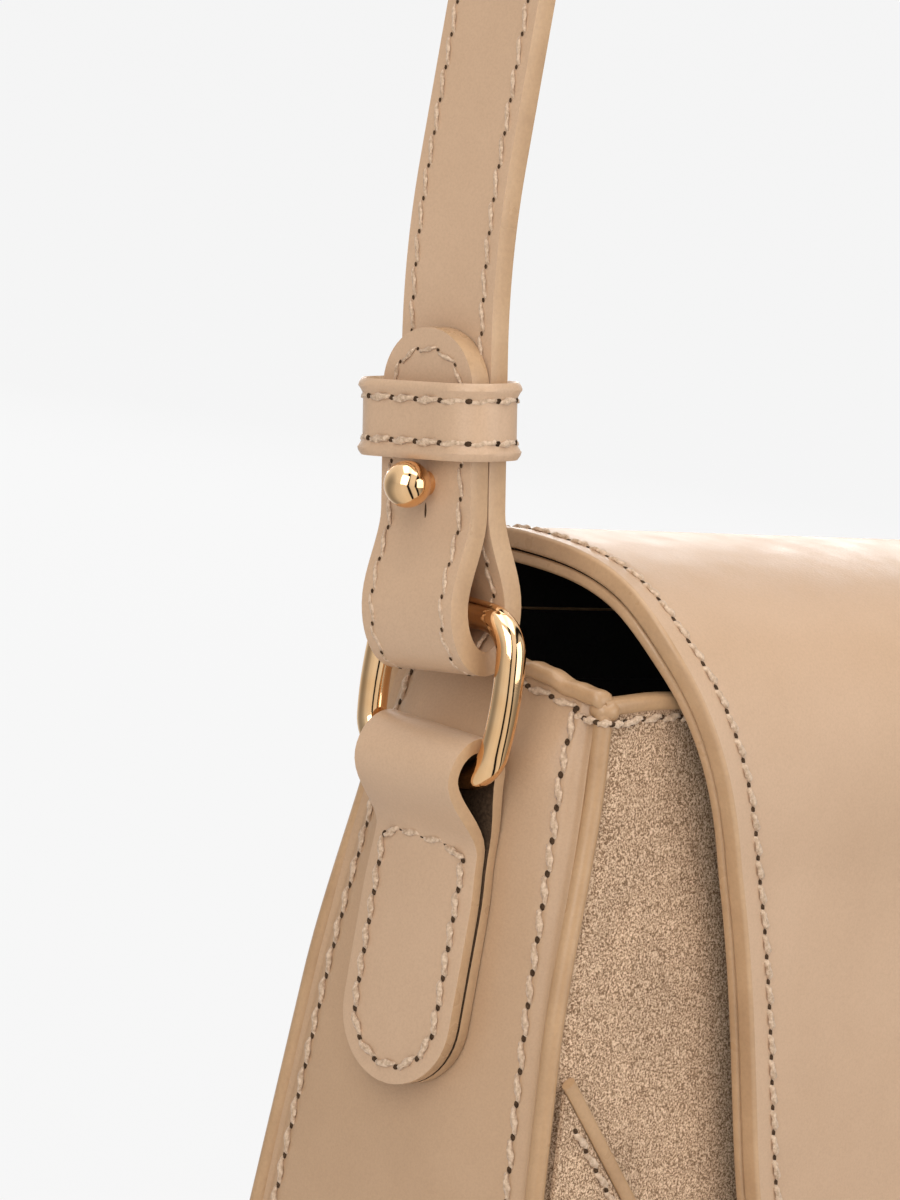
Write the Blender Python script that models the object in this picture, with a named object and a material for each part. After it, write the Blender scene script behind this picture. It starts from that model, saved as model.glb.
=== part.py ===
# Crossbody bag: a flap-over leather bag with a suede front, bellied side gussets, oval rings in
# folded side tabs, and a flat shoulder strap that folds through each ring and is held by a keeper
# loop and a ball stud.  Metres, +Z up, front towards -Y, origin on the middle of the base.
import math

import bmesh
import bpy
from mathutils import Matrix, Vector

# Body
BODY_WIDTH = 0.215
SIDE_TAPER = 0.0034
FRONT_HEIGHT = 0.128
BACK_RISE = 0.0045
TOP_DEPTH = 0.0425
BASE_DEPTH = 0.0635
CORNER_RADIUS = 0.024
GUSSET_BULGE = 0.0062
FRONT_BULGE = 0.0008
MOUTH_DIP = 0.0022
MOUTH_DIP_RUN = 0.030
GUSSET_LEATHER = 0.0020
PANEL_LEATHER = 0.0020
SUEDE = 0.0018
GAP = 0.0003
bulge_start_share = 0.10
bulge_full_share = 0.45
bulge_low_share = 0.36
bulge_fade_share = 0.90
bulge_top_share = 0.25
taper_start_share = 0.58
taper_full_share = 0.92
gusset_rise_power = 0.55

# Seam rolls and bound top edges
ROLL_RADIUS = 0.0015
ROLL_PROUD = 0.0006
BINDING_HEIGHT = 0.0026
BINDING_OVERHANG = 0.0006

# Suede corner overlays with their bound diagonal edge
DIAGONAL_DROP = 0.0562
DIAGONAL_ANGLE = math.radians(48)
OVERLAY_THICKNESS = 0.0008
DIAGONAL_WIDTH = 0.0024
DIAGONAL_PROUD = 0.0017
diagonal_round_share = 0.38

# Base board and lining
BOARD_THICKNESS = 0.0018
BOARD_MARGIN = 0.006
LINING_THICKNESS = 0.0008
LINING_DROP = 0.0060
LINING_CORNER = 0.0075

# Flap
FLAP_OUTER = 0.0030
FLAP_LINING = 0.0018
FLAP_HALF_WIDTH = 0.0946
FLAP_RISE = 0.0161
FLAP_CROWN_Y = 0.008
SHOULDER_DROP = 0.025
FLAP_STANDOFF = 0.0052
FLAP_END_HEIGHT = 0.019
TAPER_START = 0.008
FLAP_LINING_INSET = 0.0004
TAIL_LENGTH = 0.026
flap_roundness = 2.75
flap_waist_share = 0.516
flap_skirt_share = 0.972
shoulder_handle_share = 0.637
skirt_handle_share = 0.98
flap_end_share = 0.975

# Magnetic closure
MAGNET_RADIUS = 0.007
MAGNET_THICKNESS = 0.0008
MAGNET_HEIGHT = 0.043

# Side tab
TAB_THICKNESS = 0.0021
TAB_HALF_WIDTH = 0.0100
TAB_END_HALF_WIDTH = 0.0108
TAB_WAIST = 0.0008
TAB_LENGTH = 0.0489
TAB_SLACK = 0.0018
TAB_MERGE = 0.012
TAB_NECK = 0.005

# Ring, measured on the middle of its bar
RING_BAR = 0.0045
RING_HALF_WIDTH = 0.0118
RING_HALF_HEIGHT = 0.01185
RING_CORNER = 0.0046
RING_BOW = 0.0013
RING_DROP = 0.0028

# Strap.  Its folded end hangs at one slant and the long run above the tongue at another, and the
# fold sits a little outside and behind the middle of the ring's upper bar.
STRAP_WIDTH = 0.018
STRAP_THICKNESS = 0.0036
STRAP_EDGE = 0.0009
STRAP_SHIFT = 0.0014
STRAP_OUTSET = 0.0013
STRAP_INWARD = math.radians(-3.7)
STRAP_BACK = math.radians(8.5)
STRAP_STRAIGHT = 0.037
STRAP_TURN = 0.014
STRAP_UPPER_INWARD = math.radians(5.5)
STRAP_UPPER_BACK = math.radians(4.7)
STRAP_RISE = 0.472
STRAP_CROWN_Y = 0.030
STRAP_RISE_HANDLE = 0.220
STRAP_CROWN_HANDLE = 0.085
LOOP_DROP = 0.0081
LOOP_HALF_GAP = 0.0058
LOOP_CLOSE = 0.0140
TONGUE_LENGTH = 0.0410

# Keeper loop
KEEPER_START = 0.0226
KEEPER_HEIGHT = 0.0105
KEEPER_WALL = 0.0022
KEEPER_PLAY = 0.0006
KEEPER_CORNER = 0.0032

# Ball stud and its screw
STUD_HEIGHT = 0.0181
STUD_BALL_RADIUS = 0.0033
STUD_NECK_RADIUS = 0.0017
STUD_NECK_LENGTH = 0.0012
STUD_HOLE_RADIUS = 0.0021
SCREW_HEAD_RADIUS = 0.0040
SCREW_HEAD_THICKNESS = 0.0009
SCREW_SHANK_RADIUS = 0.0011

CUT_OVERRUN = 0.004

# Colours read off the finished goods: colour, roughness, metallic
LEATHER_FINISH = ("smooth_leather", (0.56, 0.39, 0.26, 1.0), 0.45, 0.0)
EDGE_FINISH = ("painted_edge", (0.60, 0.41, 0.23, 1.0), 0.40, 0.0)
SUEDE_FINISH = ("suede", (0.40, 0.28, 0.18, 1.0), 0.95, 0.0)
LINING_FINISH = ("dark_lining", (0.012, 0.011, 0.010, 1.0), 0.85, 0.0)
BOARD_FINISH = ("base_board", (0.30, 0.24, 0.18, 1.0), 0.80, 0.0)
GOLD_FINISH = ("pale_gold", (0.92, 0.70, 0.42, 1.0), 0.12, 1.0)


def clear_scene():
    for obj in list(bpy.data.objects):
        bpy.data.objects.remove(obj, do_unlink=True)


def finish_material(finish):
    name, colour, roughness, metallic = finish
    material = bpy.data.materials.get(name)
    if material is None:
        material = bpy.data.materials.new(name)
        material.use_nodes = True
        shader = material.node_tree.nodes["Principled BSDF"]
        shader.inputs["Base Color"].default_value = colour
        shader.inputs["Roughness"].default_value = roughness
        shader.inputs["Metallic"].default_value = metallic
    return material


def make_object(name, bm, finish, sharp_angle=math.radians(35)):
    bmesh.ops.recalc_face_normals(bm, faces=bm.faces)
    mesh = bpy.data.meshes.new(name)
    bm.to_mesh(mesh)
    bm.free()
    mesh.shade_smooth()
    mesh.set_sharp_from_angle(angle=sharp_angle)
    mesh.materials.append(finish_material(finish))
    obj = bpy.data.objects.new(name, mesh)
    bpy.context.scene.collection.objects.link(obj)
    return obj


def slab(name, outer, inner, finish):
    """A sheet with two faces, each given as rows of points, closed along its four borders."""
    bm = bmesh.new()
    top = [[bm.verts.new(p) for p in row] for row in outer]
    low = [[bm.verts.new(p) for p in row] for row in inner]
    rows = len(top)
    columns = len(top[0])
    for i in range(rows - 1):
        for j in range(columns - 1):
            bm.faces.new((top[i][j], top[i + 1][j], top[i + 1][j + 1], top[i][j + 1]))
            bm.faces.new((low[i][j], low[i][j + 1], low[i + 1][j + 1], low[i + 1][j]))
    for i in range(rows - 1):
        bm.faces.new((top[i][0], low[i][0], low[i + 1][0], top[i + 1][0]))
        bm.faces.new((top[i][-1], top[i + 1][-1], low[i + 1][-1], low[i][-1]))
    for j in range(columns - 1):
        bm.faces.new((top[0][j], top[0][j + 1], low[0][j + 1], low[0][j]))
        bm.faces.new((top[-1][j], low[-1][j], low[-1][j + 1], top[-1][j + 1]))
    return make_object(name, bm, finish)


def loft(name, sections, finish, ring=False):
    """Closed sections joined one after another, capped at both ends or closed into a ring."""
    bm = bmesh.new()
    loops = [[bm.verts.new(p) for p in section] for section in sections]
    count = len(loops[0])
    joins = len(loops) if ring else len(loops) - 1
    for i in range(joins):
        here = loops[i]
        there = loops[(i + 1) % len(loops)]
        for j in range(count):
            k = (j + 1) % count
            bm.faces.new((here[j], here[k], there[k], there[j]))
    if not ring:
        bm.faces.new(list(reversed(loops[0])))
        bm.faces.new(loops[-1])
    return make_object(name, bm, finish)


def turned(name, profile, centre, axis, finish, segments=20):
    """A profile of radius and height pairs spun round an axis; it starts and ends on the axis."""
    up = Vector(axis).normalized()
    side = up.orthogonal().normalized()
    other = up.cross(side)
    bm = bmesh.new()
    start = bm.verts.new(centre + up * profile[0][1])
    end = bm.verts.new(centre + up * profile[-1][1])
    loops = []
    for radius, height in profile[1:-1]:
        loop = []
        for k in range(segments):
            angle = math.tau * k / segments
            arm = side * math.cos(angle) + other * math.sin(angle)
            loop.append(bm.verts.new(centre + up * height + arm * radius))
        loops.append(loop)
    for here, there in zip(loops, loops[1:]):
        for k in range(segments):
            n = (k + 1) % segments
            bm.faces.new((here[k], here[n], there[n], there[k]))
    for k in range(segments):
        n = (k + 1) % segments
        bm.faces.new((start, loops[0][n], loops[0][k]))
        bm.faces.new((end, loops[-1][k], loops[-1][n]))
    return make_object(name, bm, finish)


def smooth(t):
    t = max(0.0, min(1.0, t))
    return t * t * (3 - 2 * t)


def spread(count):
    return [i / (count - 1) for i in range(count)]


def bezier(p0, p1, p2, p3, t):
    s = 1 - t
    return p0 * s**3 + p1 * 3 * s * s * t + p2 * 3 * s * t * t + p3 * t**3


def round_section(centre, side, up, radius, count=10):
    points = []
    for k in range(count):
        angle = math.tau * (k + 0.5) / count
        reach = radius / math.cos(math.pi / count)
        points.append(centre + side * (reach * math.cos(angle)) + up * (reach * math.sin(angle)))
    return points


def rounded_box_section(centre, side, up, half_width, half_height, corner):
    shares = ((1, 0), (0, 1))
    points = []
    for sx, sy in ((1, -1), (1, 1), (-1, 1), (-1, -1)):
        cuts = shares if sx * sy < 0 else reversed(shares)
        for cx, cy in cuts:
            across = sx * (half_width - corner * cx)
            along = sy * (half_height - corner * cy)
            points.append(centre + side * across + up * along)
    return points


# Outlines shared by the pieces of the body

BACK_HEIGHT = FRONT_HEIGHT + BACK_RISE


def half_depth(z):
    return TOP_DEPTH / 2 + (BASE_DEPTH - TOP_DEPTH) / 2 * (1 - z / FRONT_HEIGHT)


def side_half(z):
    """Half width between the side seams, which draw in towards the mouth."""
    share = (z / FRONT_HEIGHT - taper_start_share) / (taper_full_share - taper_start_share)
    return BODY_WIDTH / 2 - SIDE_TAPER * smooth(share)


def outline_half_width(z, inset):
    """Half width of the front outline, drawn in by inset, at height z."""
    if z >= CORNER_RADIUS:
        return side_half(z) - inset
    reach = (CORNER_RADIUS - inset) ** 2 - (CORNER_RADIUS - z) ** 2
    return BODY_WIDTH / 2 - CORNER_RADIUS + math.sqrt(max(reach, 0.0))


def mouth_height(x):
    """Height of the front top edge, which dips between the two side seams."""
    return FRONT_HEIGHT - MOUTH_DIP * smooth((side_half(FRONT_HEIGHT) - abs(x)) / MOUTH_DIP_RUN)


def gusset_top(v):
    return FRONT_HEIGHT + BACK_RISE * ((v + 1) / 2) ** gusset_rise_power


def gusset_bulge(y, z):
    """The gusset stands out most at the ring, where the side seams draw in."""
    share = z / FRONT_HEIGHT
    low = smooth((share - bulge_start_share) / (bulge_full_share - bulge_start_share))
    high = smooth((share - taper_start_share) / (taper_full_share - taper_start_share))
    rise = bulge_low_share * low + (1 - bulge_low_share) * high
    fade = smooth((share - bulge_fade_share) / (1 - bulge_fade_share))
    v = y / half_depth(z)
    return GUSSET_BULGE * rise * (1 - (1 - bulge_top_share) * fade) * max(0.0, 1 - v * v)


def gusset_face(y, z):
    """How far the outside of a gusset lies from the middle of the bag."""
    return side_half(z) + gusset_bulge(y, z)


def front_bulge(x, z):
    across = 1 - (2 * x / BODY_WIDTH) ** 2
    return FRONT_BULGE * max(0.0, across) * math.sin(math.pi * max(0.0, min(1.0, z / FRONT_HEIGHT)))


def front_surface(x, z, lift=0.0):
    return Vector((x, -half_depth(z) - front_bulge(x, z) - lift, z))


def roll_proud(z):
    """The seam rolls lie flush under the base and stand proud higher up the sides."""
    return ROLL_PROUD * smooth((z - ROLL_RADIUS) / CORNER_RADIUS)


def seam_inset(z):
    """How far a panel stays in from the body's outline to leave room for a seam roll."""
    return 2 * ROLL_RADIUS + GAP - roll_proud(z)


ARC_STEPS = 7
SIDE_STEPS = 12


def side_track(top, drop=0.0):
    """Left half of the body outline from the top down and round the lower corner.

    Each entry is a point on the outline and its outward normal, both in X and Z; drop moves
    the whole track inwards.
    """
    track = []
    for t in spread(SIDE_STEPS):
        z = top + (CORNER_RADIUS - top) * t
        track.append((-side_half(z) + drop, z, -1.0, 0.0))
    for k in range(1, ARC_STEPS + 1):
        angle = math.pi / 2 * k / ARC_STEPS
        reach = CORNER_RADIUS - drop
        x = -BODY_WIDTH / 2 + CORNER_RADIUS - reach * math.cos(angle)
        z = CORNER_RADIUS - reach * math.sin(angle)
        track.append((x, z, -math.cos(angle), -math.sin(angle)))
    return track


def mirrored(points, side):
    return [Vector((p.x * -side, p.y, p.z)) for p in points]


# Body pieces

def make_gusset(side, name):
    columns = spread(11)
    outer = []
    inner = []
    for share in spread(15):
        outer_row = []
        inner_row = []
        for c in columns:
            v = 2 * c - 1
            top = gusset_top(v) - BINDING_HEIGHT - GAP
            z = top + (CORNER_RADIUS - top) * share
            y = v * (half_depth(z) - seam_inset(z))
            x = -gusset_face(y, z)
            outer_row.append(Vector((x, y, z)))
            inner_row.append(Vector((x + GUSSET_LEATHER, y, z)))
        outer.append(outer_row)
        inner.append(inner_row)
    for x, z, nx, nz in side_track(FRONT_HEIGHT)[SIDE_STEPS:]:
        outer_row = []
        inner_row = []
        for c in columns:
            v = 2 * c - 1
            y = v * (half_depth(z) - seam_inset(z))
            swell = gusset_bulge(y, z)
            outer_row.append(Vector((x + nx * swell, y, z + nz * swell)))
            drop = GUSSET_LEATHER - swell
            inner_row.append(Vector((x - nx * drop, y, z - nz * drop)))
        outer.append(outer_row)
        inner.append(inner_row)
    outer = [mirrored(row, side) for row in outer]
    inner = [mirrored(row, side) for row in inner]
    return slab(name, outer, inner, LEATHER_FINISH)


def panel_rows(top_of, surface, thickness, steps_low=6, steps_high=10, columns=15):
    """Rows from the bottom edge to the top edge of a front or back panel."""
    outer = []
    inner = []
    inset = seam_inset(0)
    levels = [inset + (CORNER_RADIUS - inset) * (1 - math.cos(math.pi / 2 * t))
              for t in spread(steps_low)]
    low_rows = [(z, None) for z in levels]
    high_rows = [(None, t) for t in spread(steps_high)[1:]]
    for low_z, share in low_rows + high_rows:
        outer_row = []
        inner_row = []
        for c in spread(columns):
            if share is None:
                z = low_z
                x = (2 * c - 1) * outline_half_width(z, inset)
            else:
                rim = top_of((2 * c - 1) * (side_half(FRONT_HEIGHT) - inset))
                z = CORNER_RADIUS + (rim - CORNER_RADIUS) * share
                x = (2 * c - 1) * (side_half(z) - seam_inset(z))
            point = surface(x, z)
            toward = 1.0 if point.y < 0 else -1.0
            outer_row.append(point)
            inner_row.append(point + Vector((0, toward * thickness, 0)))
        outer.append(outer_row)
        inner.append(inner_row)
    return outer, inner


def make_front_panel():
    outer, inner = panel_rows(lambda x: mouth_height(x) - BINDING_HEIGHT - GAP,
                              front_surface, SUEDE)
    return slab("front_panel", outer, inner, SUEDE_FINISH)


def make_back_panel():
    outer, inner = panel_rows(lambda x: BACK_HEIGHT,
                              lambda x, z: Vector((x, half_depth(z), z)), PANEL_LEATHER)
    return slab("back_panel", outer, inner, LEATHER_FINISH)


def make_base_panel():
    half_x = BODY_WIDTH / 2 - CORNER_RADIUS - GAP
    half_y = half_depth(0) - seam_inset(0)
    rows = [[Vector((sx * half_x, sy * half_y, 0)) for sy in (-1, 0, 1)] for sx in (-1, 1)]
    raised = [[p + Vector((0, 0, PANEL_LEATHER)) for p in row] for row in rows]
    return slab("base_panel", rows, raised, LEATHER_FINISH)


def make_base_board():
    half_x = BODY_WIDTH / 2 - CORNER_RADIUS - BOARD_MARGIN
    half_y = half_depth(0) - BOARD_MARGIN
    floor = PANEL_LEATHER + GAP
    rows = [[Vector((sx * half_x, sy * half_y, floor)) for sy in (-1, 0, 1)] for sx in (-1, 1)]
    raised = [[p + Vector((0, 0, BOARD_THICKNESS)) for p in row] for row in rows]
    return slab("base_board", rows, raised, BOARD_FINISH)


def lining_section(z, drop):
    half_x = outline_half_width(max(z, drop), drop)
    half_y = half_depth(z) - drop
    corner = min(LINING_CORNER, half_x, half_y)
    points = []
    for sx, sy, start in ((1, 1, 0.0), (-1, 1, 0.5), (-1, -1, 1.0), (1, -1, 1.5)):
        for k in range(4):
            angle = math.pi * (start + k / 6)
            points.append(Vector((sx * (half_x - corner) + corner * math.cos(angle),
                                  sy * (half_y - corner) + corner * math.sin(angle), z)))
    return points


def make_lining():
    wall = GUSSET_LEATHER + GAP
    floor = PANEL_LEATHER + 2 * GAP + BOARD_THICKNESS
    top = FRONT_HEIGHT - LINING_DROP
    inner_floor = floor + LINING_THICKNESS
    drop_in = wall + LINING_THICKNESS
    outside = [lining_section(floor + (CORNER_RADIUS - floor) * (1 - math.cos(math.pi / 2 * t)), wall)
               for t in spread(6)]
    outside += [lining_section(CORNER_RADIUS + (top - CORNER_RADIUS) * t, wall)
                for t in spread(6)[1:]]
    inside = [lining_section(top + (CORNER_RADIUS - top) * t, drop_in) for t in spread(6)]
    inside += [lining_section(inner_floor + (CORNER_RADIUS - inner_floor)
                              * (1 - math.sin(math.pi / 2 * t)), drop_in)
               for t in spread(6)[1:]]
    return loft("body_lining", outside + inside, LINING_FINISH)


def make_seam_roll(name, front, top):
    half = []
    for x, z, nx, nz in side_track(top, ROLL_RADIUS):
        proud = roll_proud(z)
        y = (half_depth(z) - ROLL_RADIUS + proud) * (-1 if front else 1)
        centre = Vector((x + nx * proud, y, z + nz * proud))
        half.append((centre, Vector((nx, 0, nz))))
    track = half + [(Vector((-c.x, c.y, c.z)), Vector((-n.x, n.y, n.z))) for c, n in reversed(half)]
    depth = Vector((0, 1, 0))
    sections = [round_section(c, n, depth, ROLL_RADIUS * 0.98, 8) for c, n in track]
    return loft(name, sections, LEATHER_FINISH)


def make_front_binding():
    reach = side_half(FRONT_HEIGHT) - seam_inset(FRONT_HEIGHT)
    half_t = SUEDE / 2 + BINDING_OVERHANG
    sections = []
    for t in spread(21):
        x = (2 * t - 1) * reach
        z = mouth_height(x) - BINDING_HEIGHT / 2
        y = -half_depth(z) - front_bulge(x, z) + SUEDE / 2
        sections.append(rounded_box_section(Vector((x, y, z)), Vector((0, 1, 0)), Vector((0, 0, 1)),
                                            half_t, BINDING_HEIGHT / 2, BINDING_OVERHANG))
    return loft("front_top_binding", sections, LEATHER_FINISH)


def make_gusset_binding(side, name):
    half_t = GUSSET_LEATHER / 2 + BINDING_OVERHANG
    sections = []
    for t in spread(13):
        v = 2 * t - 1
        z = gusset_top(v) - BINDING_HEIGHT / 2
        y = v * (half_depth(z) - seam_inset(z))
        x = -gusset_face(y, z) + GUSSET_LEATHER / 2
        section = rounded_box_section(Vector((x, y, z)), Vector((1, 0, 0)), Vector((0, 0, 1)),
                                      half_t, BINDING_HEIGHT / 2, BINDING_OVERHANG)
        sections.append(mirrored(section, side))
    return loft(name, sections, LEATHER_FINISH)


# Suede corner overlays: everything below the diagonal at each lower corner of the front

DIAGONAL_TOP = FRONT_HEIGHT - DIAGONAL_DROP


def diagonal_x(z):
    return -side_half(z) + seam_inset(z) + (DIAGONAL_TOP - z) / math.tan(DIAGONAL_ANGLE)


def make_corner_overlay(side, name):
    half_band = (DIAGONAL_WIDTH / 2 + GAP) / math.sin(DIAGONAL_ANGLE)
    low = seam_inset(0) + GAP
    high = DIAGONAL_TOP - (half_band + 2 * DIAGONAL_WIDTH) * math.tan(DIAGONAL_ANGLE)
    levels = [low + (CORNER_RADIUS - low) * (1 - math.cos(math.pi / 2 * t)) for t in spread(6)]
    levels += [CORNER_RADIUS + (high - CORNER_RADIUS) * t for t in spread(6)[1:]]
    outer = []
    inner = []
    for z in levels:
        left = -outline_half_width(z, seam_inset(z) + GAP)
        right = diagonal_x(z) - half_band
        row_out = []
        row_in = []
        for c in spread(7):
            x = left + (right - left) * c
            row_out.append(front_surface(x, z, GAP + OVERLAY_THICKNESS))
            row_in.append(front_surface(x, z, GAP))
        outer.append(mirrored(row_out, side))
        inner.append(mirrored(row_in, side))
    return slab(name, outer, inner, SUEDE_FINISH)


def make_diagonal_binding(side, name):
    lean = (half_depth(0) - half_depth(FRONT_HEIGHT)) / FRONT_HEIGHT
    across = Vector((math.sin(DIAGONAL_ANGLE), 0, math.cos(DIAGONAL_ANGLE)))
    start_z = DIAGONAL_TOP - DIAGONAL_WIDTH / 2
    end_z = seam_inset(0) + DIAGONAL_WIDTH
    sections = []
    for t in spread(13):
        z = start_z + (end_z - start_z) * t
        x = diagonal_x(z)
        middle = front_surface(x, z, GAP + DIAGONAL_PROUD / 2)
        section = rounded_box_section(middle, across, Vector((0, -1, 0)), DIAGONAL_WIDTH / 2,
                                      DIAGONAL_PROUD / 2, DIAGONAL_PROUD * diagonal_round_share)
        section = [p + Vector((0, (p.z - middle.z) * lean, 0)) for p in section]
        sections.append(mirrored(section, side))
    return loft(name, sections, LEATHER_FINISH)


# Flap

HINGE_HEIGHT = BACK_HEIGHT + GAP


def front_plane(z):
    return -half_depth(z) - FLAP_STANDOFF


def flap_profile():
    """The line between the flap's two layers, from the root at the back to the front edge.

    Returns points (y, z, half width).
    """
    crown_z = FRONT_HEIGHT + FLAP_RISE
    shoulder_z = FRONT_HEIGHT - SHOULDER_DROP
    root_y = half_depth(BACK_HEIGHT) + GAP / 2
    n = flap_roundness
    points = []
    for k in range(8):
        angle = math.pi / 2 * k / 8
        y = FLAP_CROWN_Y + (root_y - FLAP_CROWN_Y) * math.cos(angle) ** (2 / n)
        z = HINGE_HEIGHT + (crown_z - HINGE_HEIGHT) * math.sin(angle) ** (2 / n)
        points.append((y, z, FLAP_HALF_WIDTH))

    def arch_y(z):
        lift = max(0.0, (z - shoulder_z) / (crown_z - shoulder_z))
        reach = FLAP_CROWN_Y - front_plane(shoulder_z)
        return FLAP_CROWN_Y - reach * (1 - lift**n) ** (1 / n)

    taper_z = FRONT_HEIGHT + TAPER_START
    for k in range(6):
        share = k / 6
        y = FLAP_CROWN_Y + (arch_y(taper_z) - FLAP_CROWN_Y) * share
        reach = FLAP_CROWN_Y - front_plane(shoulder_z)
        lift = (1 - ((FLAP_CROWN_Y - y) / reach) ** n) ** (1 / n)
        points.append((y, shoulder_z + (crown_z - shoulder_z) * lift, FLAP_HALF_WIDTH))
    span = taper_z - FLAP_END_HEIGHT
    p0 = Vector((FLAP_HALF_WIDTH, taper_z))
    p1 = Vector((FLAP_HALF_WIDTH * flap_waist_share, taper_z - span * shoulder_handle_share))
    p2 = Vector((FLAP_HALF_WIDTH * flap_skirt_share, taper_z - span * skirt_handle_share))
    p3 = Vector((0.0, FLAP_END_HEIGHT))
    for t in spread(19):
        share = flap_end_share * (1 - math.cos(math.pi * t)) / 2
        point = bezier(p0, p1, p2, p3, share)
        z = point.y
        y = arch_y(z) if z > shoulder_z else front_plane(z)
        points.append((y, z, point.x))
    return points


def flap_normals(profile):
    normals = []
    for i in range(len(profile)):
        before = profile[max(i - 1, 0)]
        after = profile[min(i + 1, len(profile) - 1)]
        along = Vector((after[0] - before[0], after[1] - before[1]))
        if i == 0:
            along = Vector((0.0, 1.0))
        along.normalize()
        normals.append(Vector((along.y, -along.x)))
    return normals


def flap_layer(name, low, high, inset, finish):
    profile = flap_profile()
    normals = flap_normals(profile)
    outer = []
    inner = []
    for (y, z, half), n in zip(profile, normals):
        row_out = []
        row_in = []
        for c in spread(13):
            x = (2 * c - 1) * (half - inset)
            row_out.append(Vector((x, y + n.x * high, z + n.y * high)))
            row_in.append(Vector((x, y + n.x * low, z + n.y * low)))
        outer.append(row_out)
        inner.append(row_in)
    return slab(name, outer, inner, finish)


def make_flap_tail():
    outer = []
    inner = []
    for t in spread(7):
        z = BACK_HEIGHT - TAIL_LENGTH * t
        curl = max(0.0, TAIL_LENGTH * t - TAIL_LENGTH / 2) / (TAIL_LENGTH / 2)
        half = FLAP_HALF_WIDTH - TAIL_LENGTH / 2 * (1 - math.sqrt(max(0.0, 1 - curl * curl)))
        y = half_depth(z) + GAP
        row_out = []
        row_in = []
        for c in spread(9):
            x = (2 * c - 1) * half
            row_out.append(Vector((x, y + FLAP_OUTER, z)))
            row_in.append(Vector((x, y, z)))
        outer.append(row_out)
        inner.append(row_in)
    return slab("flap_tail", outer, inner, LEATHER_FINISH)


def make_magnet(name, on_flap):
    lean = math.atan((BASE_DEPTH - TOP_DEPTH) / 2 / FRONT_HEIGHT)
    out = Vector((0, -math.cos(lean), math.sin(lean)))
    surface = front_surface(0, MAGNET_HEIGHT)
    if on_flap:
        base = Vector((0, front_plane(MAGNET_HEIGHT) + GAP / 2 + FLAP_LINING, MAGNET_HEIGHT))
        centre = base - out * (GAP + MAGNET_THICKNESS)
    else:
        centre = surface + out * GAP
    edge = MAGNET_THICKNESS / 3
    profile = ((0, 0), (MAGNET_RADIUS, 0), (MAGNET_RADIUS, MAGNET_THICKNESS - edge),
               (MAGNET_RADIUS - edge, MAGNET_THICKNESS), (0, MAGNET_THICKNESS))
    return turned(name, profile, centre, out, GOLD_FINISH, 24)


# Ring and tab.  Both are laid out on the left and mirrored for the right.

RING_CENTRE_HEIGHT = FRONT_HEIGHT - RING_DROP
BAR_HEIGHT = RING_CENTRE_HEIGHT - RING_HALF_HEIGHT
TOP_BAR_HEIGHT = RING_CENTRE_HEIGHT + RING_HALF_HEIGHT
BAR_OFFSET = GAP + TAB_THICKNESS + TAB_SLACK + RING_BAR / 2
RING_X = gusset_face(0, BAR_HEIGHT) + BAR_OFFSET
TAB_BOTTOM = BAR_HEIGHT - TAB_LENGTH


def ring_track():
    points = []
    flat_y = RING_HALF_WIDTH - RING_CORNER
    flat_z = RING_HALF_HEIGHT - RING_CORNER
    for sy, sz, start in ((1, 1, 0.0), (-1, 1, 0.5), (-1, -1, 1.0), (1, -1, 1.5)):
        for k in range(7):
            angle = math.pi * (start + k / 12)
            y = sy * flat_y + RING_CORNER * math.cos(angle)
            z = sz * flat_z + RING_CORNER * math.sin(angle)
            points.append((y, z))
    bowed = []
    for y, z in points:
        side = 1 if y > 0 else -1
        bow = RING_BOW * (1 - (z / RING_HALF_HEIGHT) ** 2) * side
        bowed.append((y + bow, z))
    return bowed


def make_ring(side, name):
    track = ring_track()
    count = len(track)
    out = Vector((-1, 0, 0))
    sections = []
    for i in range(count):
        before = track[i - 1]
        after = track[(i + 1) % count]
        along = Vector((0, after[0] - before[0], after[1] - before[1])).normalized()
        normal = along.cross(out).normalized()
        centre = Vector((-RING_X, track[i][0], RING_CENTRE_HEIGHT + track[i][1]))
        sections.append(mirrored(round_section(centre, normal, out, RING_BAR / 2 * 0.98, 10), side))
    return loft(name, sections, GOLD_FINISH, ring=True)


def tab_track():
    """Middle line of the tab leather: distance out from the gusset and height, from the lower
    end of the layer on the gusset, over the ring's lower bar, to the lower end in front."""
    near = GAP + TAB_THICKNESS / 2
    far = near + TAB_THICKNESS + GAP
    turn = RING_BAR / 2 + TAB_SLACK + TAB_THICKNESS / 2
    merge_z = BAR_HEIGHT - TAB_MERGE
    end_shares = (0.012, 0.05, 0.12, 0.22, 0.34, 0.48)
    heights = [TAB_BOTTOM + TAB_END_HALF_WIDTH * share * 2 for share in end_shares]
    heights += [TAB_BOTTOM + TAB_END_HALF_WIDTH + (merge_z - TAB_BOTTOM - TAB_END_HALF_WIDTH) * t
                for t in spread(5)]
    track = [(near, z) for z in heights]
    track += [(near, merge_z + (BAR_HEIGHT - merge_z) * t) for t in (0.35, 0.7)]
    for k in range(9):
        angle = math.pi * (1 - k / 8)
        track.append((BAR_OFFSET + turn * math.cos(angle), BAR_HEIGHT + turn * math.sin(angle)))
    front = BAR_OFFSET + turn
    for t in (0.2, 0.4, 0.6, 0.8):
        fall = smooth(t)
        track.append((front + (far - front) * fall, BAR_HEIGHT - TAB_MERGE * t))
    track += [(far, z) for z in reversed(heights)]
    return track


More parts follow.
